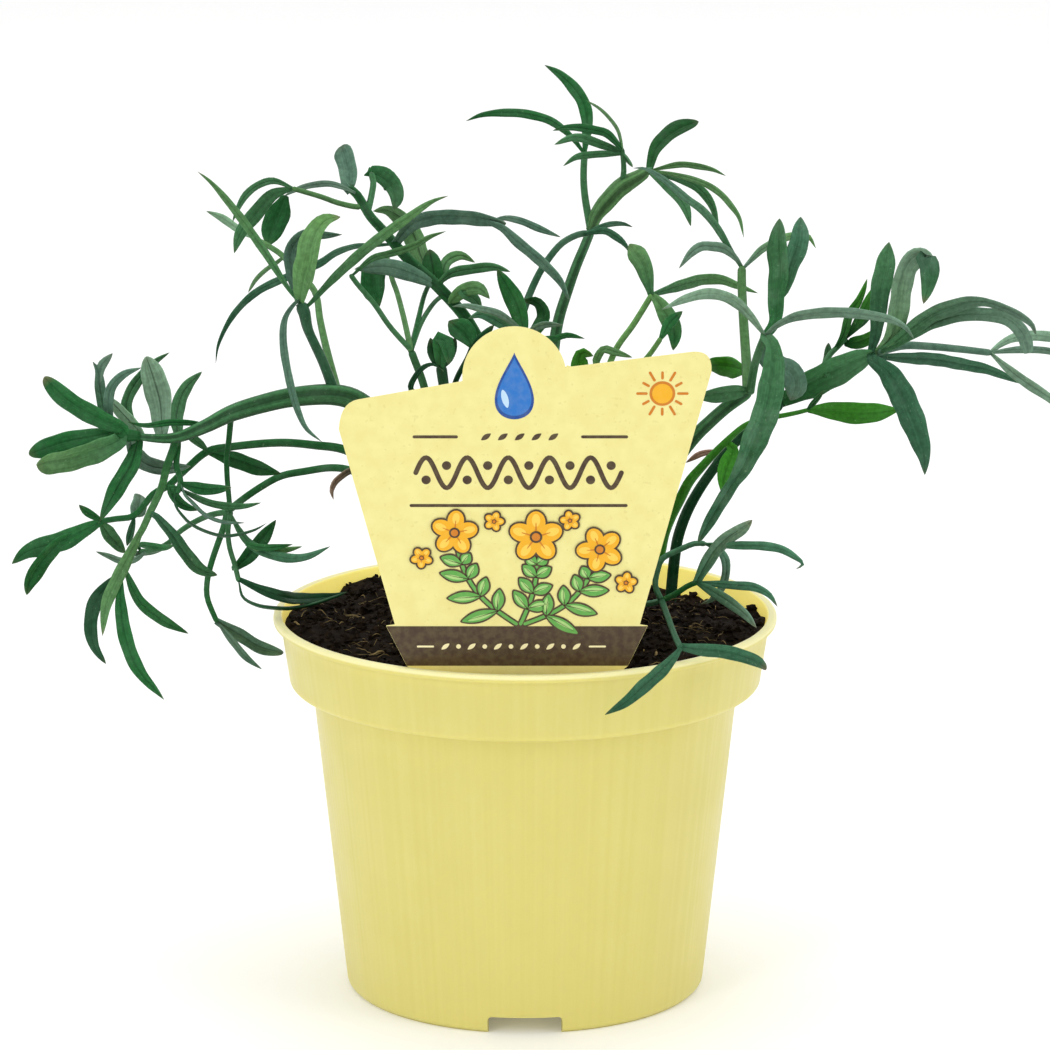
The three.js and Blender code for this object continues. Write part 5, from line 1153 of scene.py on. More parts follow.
# %% Leaves in the middle
grow("leaf_centre_left", "leaf_green", "crown_left",
     stalk("green", [2.4, 2, 1.8], [4, -4, -12], (-15.5, -18.5), (-17, -2), (-21, 20), (-24.3, 34),
           (-26.1, 38.8), (-27.1, 41.5)),
     stalk("green", [1.3, 1.2], [-12, -6], (-27.1, 41.5), (-32.1, 47.1), (-36, 52.7), (-40, 57.4),
           (-41.5, 59.5)),
     stalk("sage", [1.4, 1.2], [-12, 10], (-27.1, 41.5), (-28.9, 49.5), (-30.5, 55.5), (-31.5, 58.2),
           (-32.9, 64)),
     stalk("dark", [1.3, 1.1], [-12, 14], (-27.1, 41.5), (-25.3, 49.1), (-23.9, 54.6), (-22.6, 57.6)),
     stalk("green", [1.3, 1.1], [-12, 14], (-27.1, 41.5), (-24.5, 48.3), (-21.4, 53), (-19.4, 54.6)),
     blade("green sage", 1.6, [-6, -10], (-41, 59.3), (-36.3, 63.4), (-32.7, 64.4), (-29.2, 65.4),
           (-26.1, 66.6), (-22.5, 68.6), (-18.8, 69.8)),
     blade("dark", 6, [10, 4], (-32.9, 63.8), (-35.4, 62), (-36.2, 57), (-34.7, 51.7)))
grow("leaf_tab_left", "leaf_dark", "crown_left",
     stalk("deep", [2.2, 1.8, 2.6], [5, -10, -22], (-14.5, -18.5), (-14, 0), (-17, 20), (-19.3, 33),
           (-20, 38)),
     stalk("deep", [1.4, 1.2], [-12, -24], (-18, 26), (-16.5, 34), (-13.5, 40), (-12.5, 42.5)),
     blade("deep", 3, [-22, -26], (-20, 37), (-21.5, 41), (-22.5, 44.5)),
     blade("deep", 3, [-22, -18], (-20, 37), (-18, 41), (-16.5, 44.5)),
     blade("dark", 4, [-23, -34], (-20, 38), (-19.6, 44), (-18.6, 42), (-18.1, 38.2)),
     blade("dark", 5, [-24, -20], (-12, 42), (-14.5, 45.5), (-18.1, 48.5)),
     blade("deep", 1.4, [-14, -26], (-27, 32), (-24.9, 36.8), (-22.1, 38.2), (-19.8, 37)),
     blade("deep", 2, [-24, -30], (-12.6, 42), (-10, 45), (-7.4, 47.5)))
grow("leaf_tab_front", "leaf_dark", "crown_centre",
     stalk("deep", [2.4, 2, 1.8, 1.6], [9, -4, -16, -24], (1, -17.5), (0, 0), (-1, 22), (0, 38), (0, 46)),
     blade("dark", 4.4, [-23, -30], (0, 44), (-2, 52), (-4.5, 57), (-6.6, 60.8)),
     blade("forest", 3.4, [-24, -18], (0.5, 44), (4.6, 49.5), (3, 53), (-0.6, 53.4)),
     blade("grey", 1.5, [-24, -32], (0.2, 45), (2.1, 46.7), (4.9, 47.7), (8.9, 47.5)),
     blade("dark", 1.5, [-24, -22], (0, 44), (6.9, 44.3), (10.1, 45.1), (14.2, 44.3)),
     blade("grey", 1.8, [-24, -36], (-0.5, 45.5), (-6, 50), (-10.6, 51.3), (-14.6, 52.1), (-17.3, 51.9)),
     blade("teal", 2.6, [-24, -28], (-0.5, 44.5), (-4.6, 47.5), (-10.6, 50.1), (-13.4, 49.1)))
grow("leaf_grey_arch", "leaf_grey", "crown_centre",
     stalk("moss", [2.2, 2, 1.8, 1.5], [10, 0, -2, 6], (1.8, -16.5), (-1.5, 5), (-2.5, 28), (-1, 48),
           (2.7, 58.4), (5.8, 63.5), (9, 67.1), (13, 69.1), (15.2, 69.3)),
     blade("moss", 1.8, [5, -3], (14, 69.3), (19, 69.9), (21.3, 68.7), (23.7, 66.7), (24.9, 64.7)),
     blade("moss", 1.4, [6, 12], (14, 69.4), (19.8, 71.3), (23.3, 71.5), (25.6, 70.8)))
print("with the middle sprays:", len(PLANT), "parts")

# %% [markdown]
# The tallest stem ends in three small sprays. Young leaves are brighter than old ones, so one of the three
# has the fresh finish and the other two the dark one.

# %% Leaves at the top
grow("leaf_tall_tip", "leaf_dark", "stem_tall",
     stalk("green", [1.9, 1.7, 1.6], [18, 24], (15.3, 70), (14.2, 78.2), (13.9, 82.2), (14, 86.2),
           (14.2, 88.6)),
     blade("dark", 3, [24, 36], (14.2, 88), (14.8, 96.1), (13.8, 100.5), (11.4, 104.1), (8.2, 107.2),
           (4.7, 109.3)),
     blade("dark", 2.2, [24, 14], (14.2, 88), (11.8, 91.3), (9.4, 93.7), (5.8, 96.1), (1.9, 97.3),
           (-2.1, 97.9), (-10, 97.5), (-14, 96)))
grow("leaf_tall_small", "leaf_green", "stem_tall",
     stalk("green", [1.5, 1.3, 1.1], [19, 16], (23, 80), (23.5, 84), (23.1, 89.5)),
     blade("sage", 0.8, [15, 11], (23.2, 89), (22.1, 93.7), (20.2, 96.5), (17.8, 98.9), (14.6, 100.9)),
     blade("dark", 2, [15, 4], (23.2, 89), (19.4, 92.9), (16.6, 93.7), (13, 94.3), (9.4, 94.3),
           (6.6, 93.7)),
     blade("green", 1.8, [16, 8], (23.2, 88), (18.6, 88.2), (15.8, 88), (12.2, 87.4), (9.1, 85.3)),
     blade("green", 2.4, [16, 12], (23, 88.6), (19, 90), (12, 92), (7, 90.4)),
     blade("green", 0.9, [16, 18], (23.1, 88.4), (24.3, 86.9), (25.6, 85)))
grow("leaf_tall_right", "leaf_dark", "stem_tall",
     stalk("green", [2, 1.6], [20, 20], (28.5, 83.8), (30.4, 84.6)),
     blade("forest spear", 4.4, [20, 32], (29.2, 84.8), (31, 89), (33.6, 92.1), (37, 94.4), (41.2, 95.9)),
     blade("sage", 1.4, [20, 12], (29.5, 84.6), (36.9, 85.7), (41, 85.3), (44.6, 84.5), (47.7, 83)),
     blade("sage", 1.6, [20, 2], (29.5, 84.3), (36.5, 83), (43, 80.9), (46.6, 78.5), (49, 75.8),
           (50.9, 73), (52, 68.3)),
     blade("green", 2.4, [20, 26], (29.5, 84.2), (38, 82), (42, 79.5), (44.5, 76), (45.7, 71.5),
           (46, 70.2)),
     blade("green", 2.6, [20, 14], (29.4, 83.8), (35, 79.5), (37.8, 76), (39.4, 71)))
print("with the top sprays:", len(PLANT), "parts")

# %% [markdown]
# On the right a fresh spray stands beside grey ones that have a bloom of wax. Their blades are folded along
# the midrib. A fold could be sculpted, but here it comes from the cross-section that is swept along a blade.

# %% Leaves on the right
grow("leaf_front_bright", "leaf_green", "crown_right",
     stalk("lime", [2.2, 1.8, 1.5, 1.4], [8, -6, -20, -18], (21, -17.5), (17, 0), (17, 25), (21.1, 40.8),
           (25.9, 47.9), (30.1, 54.7)),
     stalk("lime", [1.4, 1.2], [-14, -26], (17, 22), (22, 32), (29.5, 40.4), (32.3, 44.4)),
     blade("green sage spear", 4.5, [-18, -13], (30.1, 54.5), (29.1, 58.7), (27.9, 62.2), (24.8, 66.8)),
     blade("green sage", 2.8, [-18, -2, 6], (30.1, 54.7), (38.6, 57.5), (43, 58.5), (47, 58.3),
           (50.1, 57.1), (55.3, 55.1)),
     blade("sage dark", 4, [-18, -22], (30.1, 54.7), (31.9, 52.7), (33.8, 49.5), (35.4, 45.9),
           (35.2, 41.5)),
     blade("dark", 2.6, [-26, -22], (32, 44), (34.2, 47.9), (37.4, 50.8)),
     blade("sage", 2, [-19, -27], (17, 38), (18.7, 41.6), (21.1, 41), (25.5, 39.8)),
     blade("fresh", 4, [-16, -20], (15.5, 32), (12.8, 37), (13.6, 41), (16.2, 40.2)))
grow("leaf_right_upright", "leaf_grey", "stem_right",
     stalk("sage", [2.4, 2.2, 2], [-14, -10, -8], (53, 31.2), (52.6, 38.3), (52.2, 44.2), (51.7, 52.3),
           (51.5, 57.9), (51.5, 61.5)),
     blade("green slate", 2, [-8, -12, -8], (51.5, 60.9), (49, 65), (45, 71.4), (41.8, 75), (38.6, 77.3),
           (32.3, 82.5), (28.3, 84.7), (25.7, 84.8)),
     blade("grey", 2.2, [-9, -16], (49.9, 63.6), (47, 65.8), (44.6, 66.2), (41.8, 66.2), (39.4, 64.6),
           (36.6, 61)),
     blade("grey lime", 2, [-8, 2], (51.6, 60.6), (53.7, 63), (56.1, 65.4), (58.1, 66.6), (62.9, 68.6),
           (67.2, 68.6), (69.1, 65.8)),
     blade("fresh", 5, [-12, -2], (52.6, 36.5), (48, 37.8), (44.5, 37.9), (42.5, 37.5)))
grow("leaf_right_dark", "leaf_dark", "stem_right",
     blade("green", 4, [-14, -20], (53.4, 31.8), (50, 31.7), (46, 31.2), (40.5, 30.5)))
grow("leaf_right_grey", "leaf_grey", "stem_right",
     stalk("green", [2.1, 1.9, 1.8], [-15, -20, -23], (53.5, 31.7), (54.6, 37.9), (55.8, 41.8),
           (57.2, 45.2)),
     blade("dark green spear", 5.2, [-22, -14], (57.2, 44.5), (59.5, 48.3), (59.9, 54.3), (60.6, 60),
           (60.2, 66), (60.5, 72.8)),
     blade("green teal spear", 4.4, [-17, -10], (61, 55), (63, 62), (64.8, 67), (65.5, 73.2)),
     blade("silver", 2.6, [-23, -34], (57, 44.9), (53.8, 49.4), (51.1, 52.2), (47.9, 54.2), (43.5, 55),
           (38.6, 53.9), (32.5, 51.2)),
     blade("grey", 2.6, [-23, -32, -34], (57.4, 45.2), (59.8, 47.4), (63.8, 49.4), (69.7, 50.4),
           (75.7, 50.6), (81.7, 50), (87.8, 48.6), (90.6, 46.8), (92.5, 44.1)),
     blade("green moss slim", 5.9, [-24, -33, -28], (57.2, 44.6), (58.6, 43), (59, 38.3), (58.3, 32.3),
           (57, 26.3), (54.4, 20), (51.7, 13.7), (48.4, 8.5), (45.3, 3.5), (42.4, -1.6), (41.2, -4)),
     blade("slate lance", 5.6, [-22, -14, -10], (57.4, 44.2), (57.8, 40.5), (60, 37.9), (63.4, 35.9),
           (64.3, 33), (63.1, 29.6)))
print("with the right sprays:", len(PLANT), "parts")

# %% [markdown]
# The stem at the back right leans out past the pot, and its leaves spread from its end, some towards the
# viewer and some away. From the front they all seem to lie in one plane, so a view from the side is the
# way to check them.

# %% Leaves at the back right
grow("leaf_back_small", "leaf_green", "stem_back_right",
     stalk("green", [1.5, 1.2], [9, 16], (71, 37.4), (72.5, 40.5), (74, 42), (76.3, 44.4)),
     blade("forest", 2, [9, 16], (71.8, 37), (72, 40), (72.1, 43.3)),
     blade("forest fresh", 2, [12, 22], (73.5, 41.5), (75.5, 45), (77, 50), (79, 53), (80.4, 56),
           (81.3, 58.5)),
     blade("forest fresh", 2.4, [16, 20], (76.2, 44.3), (79, 48), (81.5, 53), (83.5, 57.5)),
     blade("forest fresh", 3.4, [16, 12], (76.3, 43.3), (79.8, 43.7), (82.9, 45.3), (85, 47.6)),
     blade("forest", 2, [16, 24], (76.2, 44.3), (78.5, 47), (82.5, 50)))
grow("leaf_back_upright", "leaf_dark", "stem_back_right",
     blade("moss green spear", 4.9, [6, -2, 4], (82, 40.6), (83.3, 45), (83.9, 50), (84.5, 56), (85.5, 61),
           (86.5, 67.2)))
grow("leaf_back_curled", "leaf_grey", "stem_back_right",
     blade("sage silver strap", 4.6, [5, -4, -11], (84.5, 41.4), (87.2, 45), (88.7, 52), (89.4, 57.2),
           (90.8, 61.6), (93, 63.8), (96.6, 63.7)),
     blade("moss green wedge dry", 5.2, [-11, -9], (94.8, 63.8), (96, 61.4), (95.8, 57.2), (94.7, 52.6)))
grow("leaf_back_forked", "leaf_dark", "stem_back_right",
     blade("green grey slim", 3.4, [5, -8, -16], (84.5, 41.4), (87.5, 43.2), (92, 46.8), (96.5, 49.9),
           (101.4, 51.9), (105.3, 53), (109, 53.1), (113.5, 51.8), (117.4, 50), (120.5, 47.6),
           (121.4, 45.4)),
     blade("green grey strap", 3.3, [5, -6, -12], (84.5, 41.2), (87.5, 42.7), (92, 45.4), (96.5, 47.9),
           (101.4, 49.4), (105.3, 50.1), (109, 50), (113.5, 49.4), (116.5, 47.6), (118.6, 44.8),
           (119.6, 40.9)))
grow("leaf_back_long", "leaf_grey", "stem_back_right",
     stalk("slate", [2, 1.8, 1.6], [5, 14, 20], (84.5, 41.6), (90, 42.6), (95, 42.5), (103, 41.8),
           (110.8, 40.9)),
     blade("silver", 2.6, [20, 30], (110.3, 40.9), (113, 43), (116, 44.5), (120, 45), (125, 44.7),
           (133, 42.6)),
     blade("grey", 1.9, [20, 24], (110.5, 40.8), (115, 41.4), (119, 41.6), (124.6, 41.2), (131, 39.4)),
     blade("silver", 2.2, [20, 12], (110.6, 40.6), (115, 37), (119, 34), (124.6, 30.3), (130, 25.8)))
grow("leaf_back_straight", "leaf_dark", "stem_back_right",
     blade("moss", 3.2, [6, 26, 40], (83.5, 40.4), (90, 39.8), (97, 39.5), (104, 38.3), (110, 37),
           (115, 35), (119, 33.4)))
grow("leaf_back_down", "leaf_dark", "stem_back_right",
     blade("moss", 6, [3, -8, -14], (82.5, 39.4), (86, 36.5), (89, 32), (91.5, 26.5), (93.5, 21),
           (94.8, 16), (95, 12)))
print("with the back right sprays:", len(PLANT), "parts")

# %% [markdown]
# The last sprays start from the right rootstock, and one of them grows on another. They reach over the peat
# and over the lip. Most of the lowest leaflets have a dry tip, which one word in the recipe asks for.

# %% Low leaves on the right
grow("leaf_right_bright", "leaf_green", "crown_right",
     stalk("fresh", [2.8, 2.7, 2.4, 1.4, 1], [9, 4, 0, 2, 4], (22.8, -18), (28, -13), (31.5, -8), (33, -2),
           (34.6, 2), (36.7, 6), (39, 10.4), (42.1, 14), (45.3, 17.4), (49, 21), (52, 23.5), (56, 25.2),
           (60.5, 25.9), (65, 26.8), (67.7, 27.5)),
     blade("fresh", 5.2, [4, 12], (67.2, 27.4), (73, 27), (78, 26.5), (83, 26.7), (89, 27.4)),
     blade("forest", 1.4, [4, -2], (67, 27.3), (69, 29.6), (71, 32)),
     blade("fresh", 4, [1, -6], (49.3, 18), (48, 14), (47.2, 11), (46.9, 7.4)),
     blade("husk", 1.5, [3, 5], (44.6, 17.4), (41.6, 16.8), (38.2, 14.8)))
grow("leaf_low_right", "leaf_dark", "crown_right",
     stalk("teal", [1.8, 1.6, 1.4], [7, -2, -12], (23, -18.5), (29, -18.8), (32.5, -18)),
     stalk("teal", [1.4, 1.3], [-12, -18], (32.5, -18), (31, -14.5), (31.6, -10.5), (32.6, -8.1),
           (36.5, -6), (40.5, -4.4), (43, -4.5)),
     stalk("dark", [1.4, 1.3], [-12, -16], (32.5, -18), (36, -16.2), (39, -14.3), (41, -13.6)),
     blade("teal dry", 2.1, [-18, -34], (42, -4.5), (47, -4.8), (52, -4.8), (57, -5), (61, -5.8),
           (64, -7.5), (66, -9.3), (64.4, -10.5)),
     blade("teal grey dry", 2.2, [-18, -10, -8], (43, -4.5), (46, -6), (47.5, -8.5), (47.5, -12),
           (46.3, -15.5), (44.5, -17.6), (41.8, -18.8)),
     blade("teal silver lance dry", 3, [-16, -26], (40.5, -13.7), (42.5, -10), (45, -6), (48, -3),
           (51, -1), (54, 1.2)),
     blade("teal dry", 2.1, [-16, -14], (41, -13.6), (45, -14), (50, -14.4), (54.5, -14.8), (58, -16.6),
           (60, -19.4)),
     blade("teal grey dry", 2.8, [-16, -24], (40.8, -13.8), (45, -16), (49, -18.5), (52.5, -21.3),
           (55, -24.4)))
grow("leaf_over_rim", "leaf_dark", "leaf_low_right",
     stalk("moss", [1.5, 1.4], [-12, -30, -46], (32.7, -18.3), (34, -22), (35.5, -26), (37, -29.3)),
     blade("moss blunt dry", 3, [-45, -40], (36.9, -29.2), (42, -29.7), (47, -30.1), (52, -31.3),
           (56, -33), (57.3, -34.4)),
     blade("moss", 3.2, [-46, -58, -60], (36.9, -29.4), (34.5, -32.5), (31.5, -35.5), (28, -38.5),
           (24, -42), (19, -45.1)))
print("with the low right sprays:", len(PLANT), "parts and",
      sum(len(part["blades"]) for part in PLANT.values()), "leaf blades")

# %% [markdown]
# ## Curves in space
#
# A point of the layout is moved along its line of sight to its distance away, so it still covers the same
# spot of the picture. A smooth curve then runs through the points. Blender's curve objects could do that
# too, but here each new point also knows how far along it is, which the colours need. Each stalk or blade
# starts on the nearest point of what carries it, which leaves no gap at the joints from any side.

# %% Curve helpers
BURY = 0.8
FORK_REACH = 4
SPAN_STEPS = 14
LEAST_RINGS = 7
END_SHARES = np.array([0.62, 0.34, 0.14, 0.04])


def placed(across, up, away):
    """A point of the layout, in space."""
    spread = 1 + away / VIEW_DISTANCE
    return np.array([0, 0, VIEW_HEIGHT]) + (ACROSS * across + UPWARD * up) * spread + AWAY * away


def centre_line(away, points):
    """The layout's points in space, with their distances away spread evenly along the line."""
    steps = [math.dist(a, b) for a, b in zip(points, points[1:])]
    gone = np.concatenate([[0], np.cumsum(steps)]) / sum(steps)
    depths = np.interp(gone, np.linspace(0, 1, len(away)), away)
    return [placed(across, up, depth) for (across, up), depth in zip(points, depths)]


def nearest_on(lines, base):
    """The point on the given lines that is nearest to a base."""
    best = None
    for line in lines:
        for start, end in zip(line, line[1:]):
            way = end - start
            share = min(1.0, max(0.0, float(np.dot(base - start, way) / np.dot(way, way))))
            foot = start + way * share
            if best is None or np.linalg.norm(foot - base) < np.linalg.norm(best - base):
                best = foot
    return best


def rooted(line, lines):
    """The line with its start set on what carries it."""
    root = nearest_on(lines, line[0])
    if root is None:
        return line
    return [root] + (line[1:] if np.linalg.norm(root - line[0]) < BURY else line)


def lines_of(name):
    """The centre-lines of a part's sheaths, and of its stalks and blades, which are rooted."""
    part = PLANT[name]
    parents = []
    if part["grows_on"]:
        carried_by = lines_of(part["grows_on"])
        parents = carried_by["stalks"] + carried_by["sheaths"]
    stalks = []
    for _, _, away, points in part["stalks"]:
        stalks.append(rooted(centre_line(away, points), stalks or parents))
    sheaths = [centre_line(away, points) for _, _, away, points in part["sheaths"]]
    roots, blades = (stalks + sheaths) or parents, []
    for _, _, away, points in part["blades"]:
        line = centre_line(away, points)
        forked = blades and np.linalg.norm(nearest_on(roots, line[0]) - line[0]) > FORK_REACH
        blades.append(rooted(line, roots + (blades if forked else [])))
    return {"stalks": stalks, "sheaths": sheaths, "blades": blades}


def smooth_curve(line, spacing):
    """Even points, directions and shares along a curve that runs smoothly through the line's points."""
    line = np.array(line)
    held = np.vstack([2 * line[0] - line[1], line, 2 * line[-1] - line[-2]])
    dense = []
    for a, b, c, d in zip(held, held[1:], held[2:], held[3:]):
        ab, bc, cd = (math.sqrt(math.dist(p, q)) for p, q in ((a, b), (b, c), (c, d)))
        leave = bc * ((b - a) / ab - (c - a) / (ab + bc) + (c - b) / bc)
        arrive = bc * ((c - b) / bc - (d - b) / (bc + cd) + (d - c) / cd)
        for t in np.linspace(0, 1, SPAN_STEPS, endpoint=False):
            dense.append((2 * t ** 3 - 3 * t ** 2 + 1) * b + (t ** 3 - 2 * t ** 2 + t) * leave
                         + (3 * t ** 2 - 2 * t ** 3) * c + (t ** 3 - t ** 2) * arrive)
    dense = np.array(dense + [line[-1]])
    gone = np.concatenate([[0], np.cumsum(np.linalg.norm(np.diff(dense, axis=0), axis=1))])
    count = max(LEAST_RINGS, round(gone[-1] / spacing))
    spots = np.linspace(0, gone[-1], count + 1)
    closing = gone[-1] - spots[1] * END_SHARES
    spots = np.concatenate([spots[:-1], closing, spots[-1:]])
    points = np.stack([np.interp(spots, gone, dense[:, k]) for k in range(3)], axis=1)
    directions = np.gradient(points, spots, axis=0)
    directions /= np.linalg.norm(directions, axis=1)[:, None]
    return points, directions, spots, spots / gone[-1]


def sideways(directions):
    """For each direction, the way across it as the viewer sees it, and the way towards the viewer."""
    side = np.cross(directions, AWAY)
    side /= np.linalg.norm(side, axis=1)[:, None]
    return side, np.cross(directions, side)


print("curve helpers ready")

# %% [markdown]
# ## Stalks and leaf blades
#
# A stalk of samphire is a solid ridged rod, and a leaf is a thick narrow blade: flat or slightly folded
# along its midrib, rounded at its edges, narrowed to its base and mostly drawn out to a point. They could
# be curves with a bevel, but rings of points swept along a curve also carry the tint and the groove of
# each point to the material. The ring of a blade is a long lens with a groove, turned a little differently
# from one blade to the next, so that neighbours catch the light in their own way.

# %% Tints
TINTS = {"bark": (112, 92, 62), "husk": (150, 118, 104), "deep": (25, 68, 40), "forest": (26, 78, 34),
         "dark": (37, 94, 49), "moss": (48, 90, 64), "green": (62, 110, 70), "fresh": (54, 122, 34),
         "lime": (100, 148, 84), "sage": (86, 129, 79), "teal": (70, 118, 90), "slate": (76, 109, 90),
         "grey": (94, 123, 103), "silver": (120, 152, 126), "pale": (112, 148, 115)}
DRY_TIP = screen(132, 118, 92)


def tint_along(recipe, share):
    """The linear colour at each share of a length; two tints in the recipe fade from base to tip."""
    ends = [np.array(screen(*TINTS[word])[:3]) for word in recipe.split() if word in TINTS]
    return ends[0] + (ends[-1] - ends[0]) * np.clip(share * 1.3 - 0.1, 0, 1)[:, None]


print(len(TINTS), "tints")

# %% Stalk
STALK_SPACING = 1.4
STALK_SIDES = 16
RIDGES, RIDGE_DEPTH = 5, 0.07
CHANNEL_DEPTH, CHANNEL_TURN, CHANNEL_WIDTH = 0.26, math.pi / 2 + 0.2, 0.34
PAINTED_TOP_LIGHT = 0.32


def stalk_shell(recipe, diameters, line, turn):
    """A ridged tapering rod along a line, with a channel down its front and a rounded end."""
    points, directions, gone, share = smooth_curve(line, STALK_SPACING)
    side, front = sideways(directions)
    radii = np.interp(share, np.linspace(0, 1, len(diameters)), diameters) / 2
    points[0] -= directions[0] * BURY / 2
    from_end = np.clip((gone[-1] - gone) / radii, 0.2, 1)
    radii = radii * np.sqrt(1 - (1 - from_end) ** 2)
    angles = np.linspace(0, 2 * math.pi, STALK_SIDES, endpoint=False)
    channel = np.exp(-((angles - CHANNEL_TURN) / CHANNEL_WIDTH) ** 2)
    wave = np.cos(RIDGES * (angles + turn))
    ridge = 1 + RIDGE_DEPTH * wave - CHANNEL_DEPTH * channel
    # Where painted shade will fall: in the front channel and between the ridges.
    grooves = np.clip(channel + 0.3 - 0.4 * wave, 0, 1)
    rings, painted_light_and_shade = [], []
    for k, angle in enumerate(angles):
        rim = side * math.cos(angle) + front * math.sin(angle)
        rings.append(points + rim * (radii * ridge[k])[:, None])
        # Painted light and shade: the side of a stalk that faces up is lighter, the side that faces down
        # darker.
        painted_light_and_shade.append(1 + PAINTED_TOP_LIGHT * rim[:, 2])
    rings = np.stack(rings, axis=1).reshape(-1, 3)
    count = len(points)
    faces = ring_faces(count, STALK_SIDES) + end_caps(count, STALK_SIDES)
    colour = tint_along(recipe, share)[:, None, :] * np.stack(painted_light_and_shade, axis=1)[:, :, None]
    return shell(rings, faces, tint=colour.reshape(-1, 3), across=np.tile(np.sin(angles / 2) * 2.6, count),
                 along=np.repeat(gone, STALK_SIDES), edge=np.zeros(len(rings)), tip=np.zeros(len(rings)),
                 groove=np.tile(grooves, count))


print("stalk recipe ready")

# %% Leaf blade
BLADE_SPACING = 1.1
NARROW_BLADE = 1.4
EDGE_ON_WIDTH, EDGE_ON_ROLL = 2.2, 1.35
ROLLS = [0.35, -0.3, 0.15, -0.45, 0.5, -0.1]
FOLDS = [16, 24, 9, 20, 28, 13]
FORMS = {
    "sharp": {"base": 0.32, "widest": 0.42, "fade": 0.56, "end": "point"},
    "spear": {"base": 0.34, "widest": 0.7, "fade": 0.74, "end": "point"},
    "wedge": {"base": 0.85, "widest": 0.2, "fade": 0.1, "end": "point"},
    "blunt": {"base": 0.56, "widest": 0.4, "fade": 0.7, "end": "arc"},
    "round": {"base": 0.5, "widest": 0.45, "fade": 0.8, "end": "arc"},
    "paddle": {"base": 0.7, "widest": 0.72, "fade": 0.82, "end": "arc"},
    "lance": {"base": 0.6, "widest": 0.4, "fade": 0.78, "end": "point"},
    "slim": {"base": 0.4, "widest": 0.3, "fade": 0.82, "end": "arc", "waist": 0.5},
    "spoon": {"base": 0.25, "widest": 0.72, "fade": 0.66, "end": "arc"},
    "strap": {"base": 0.45, "widest": 0.4, "fade": 0.94, "end": "open"},
}
SHEATH_THICKNESS = 1.3
WAVER, SWAY = 0.035, 0.22
GROOVE_DEPTH, GROOVE_WIDTH = 0.3, 0.12
BACK_PALE = 0.2
DRY_REACH, FRESH_TIP = 2.2, 0.3
FRONT_PLACES = [-1, -0.92, -0.7, -0.4, -0.16, -0.06, 0, 0.06, 0.16, 0.4, 0.7, 0.92, 1]
BACK_PLACES = [0.82, 0.42, 0.12, 0, -0.12, -0.42, -0.82]


def blade_outline(share, form):
    """Half-width of a blade along its length, as a share of the widest place."""
    opening = np.sin(np.minimum(1, share / form["widest"]) * math.pi / 2) ** 1.2
    late = np.clip((share - form["fade"]) / (1 - form["fade"]), 0, 1)
    closing = {"point": np.cos(late * math.pi / 2) ** 0.75, "arc": np.sqrt(1 - late ** 2),
               "open": np.sqrt(1 - 0.6 * late ** 2)}[form["end"]]
    waist = 1 - form.get("waist", 0) * np.clip((share - 0.5) / 0.2, 0, 1)
    return (form["base"] + (1 - form["base"]) * opening) * np.maximum(closing, 0.05) * waist


def blade_shell(recipe, width, line, order, thickness=1.0):
    """A fleshy blade along a line, grooved in front and keeled behind."""
    form = FORMS[next((word for word in recipe.split() if word in FORMS), "sharp")]
    edge_on = width < NARROW_BLADE
    roll = EDGE_ON_ROLL if edge_on else ROLLS[order % len(ROLLS)]
    full = EDGE_ON_WIDTH if edge_on else width / math.cos(roll)
    points, directions, gone, share = smooth_curve(line, BLADE_SPACING)
    side, front = sideways(directions)
    twist = roll + (0 if edge_on else SWAY * np.sin(share * math.pi + order))
    twist = np.broadcast_to(twist, share.shape)[:, None]
    across = side * np.cos(twist) + front * np.sin(twist)
    facing = np.cross(directions, across)
    half = blade_outline(share, form) * full / 2 * (1 + WAVER * np.sin(gone * 0.9 + order * 1.7))
    thickness = min(thickness, width * 0.6)
    thick = thickness / 2 * np.clip(0.62 + 0.5 * np.sin(share * math.pi), 0.3, 1) * np.minimum(1, half / 0.5)
    fold = math.tan(math.radians(FOLDS[order % len(FOLDS)]))
    columns, places = [], FRONT_PLACES + BACK_PLACES
    for k, place in enumerate(places):
        is_front = k < len(FRONT_PLACES)
        swell = np.sqrt(max(0.0, 1 - place ** 2)) * 0.9 + 0.1
        groove = GROOVE_DEPTH * math.exp(-(place / GROOVE_WIDTH) ** 2)
        rise = (swell - groove) if is_front else -(swell + 0.5 * groove)
        lift = rise * thick + (abs(place) - 0.45) * half * fold
        columns.append(points + across * (half * place)[:, None] + facing * lift[:, None])
    rings = np.stack(columns, axis=1).reshape(-1, 3)
    sides, count = len(places), len(points)
    faces = ring_faces(count, sides) + end_caps(count, sides)
    colour = np.repeat(tint_along(recipe, share)[:, None], sides, axis=1)
    is_back = np.arange(sides) >= len(FRONT_PLACES)
    pale = np.array(screen(*TINTS["pale"])[:3])
    colour[:, is_back] = colour[:, is_back] * (1 - BACK_PALE) + pale * BACK_PALE
    # A slow drift of tone along the blade, then painted light and shade: the higher side lighter, the lower
    # darker.
    drift_and_painted_shade = (1 + 0.14 * np.sin(share * 2.4 + order))[:, None, None]
    drift_and_painted_shade = drift_and_painted_shade * (1 + 0.2 * across[:, 2:] * np.array(places))[:, :, None]
    dry = 0 if form["end"] == "open" else 1 if "dry" in recipe else FRESH_TIP
    tip = dry * np.clip((gone - gone[-1] + DRY_REACH) / DRY_REACH, 0, 1)
    # Where painted shade will fall: along the midrib groove on the front.
    grooves = np.where(is_back, 0, np.exp(-(np.array(places) / 0.07) ** 2))
    return shell(rings, faces, tint=(colour * drift_and_painted_shade).reshape(-1, 3), across=np.tile(places, count),
                 along=np.repeat(gone, sides) + order * 17, edge=np.tile(np.abs(places), count),
                 tip=np.repeat(tip, sides), groove=np.tile(grooves, count))


print("blade recipe ready")
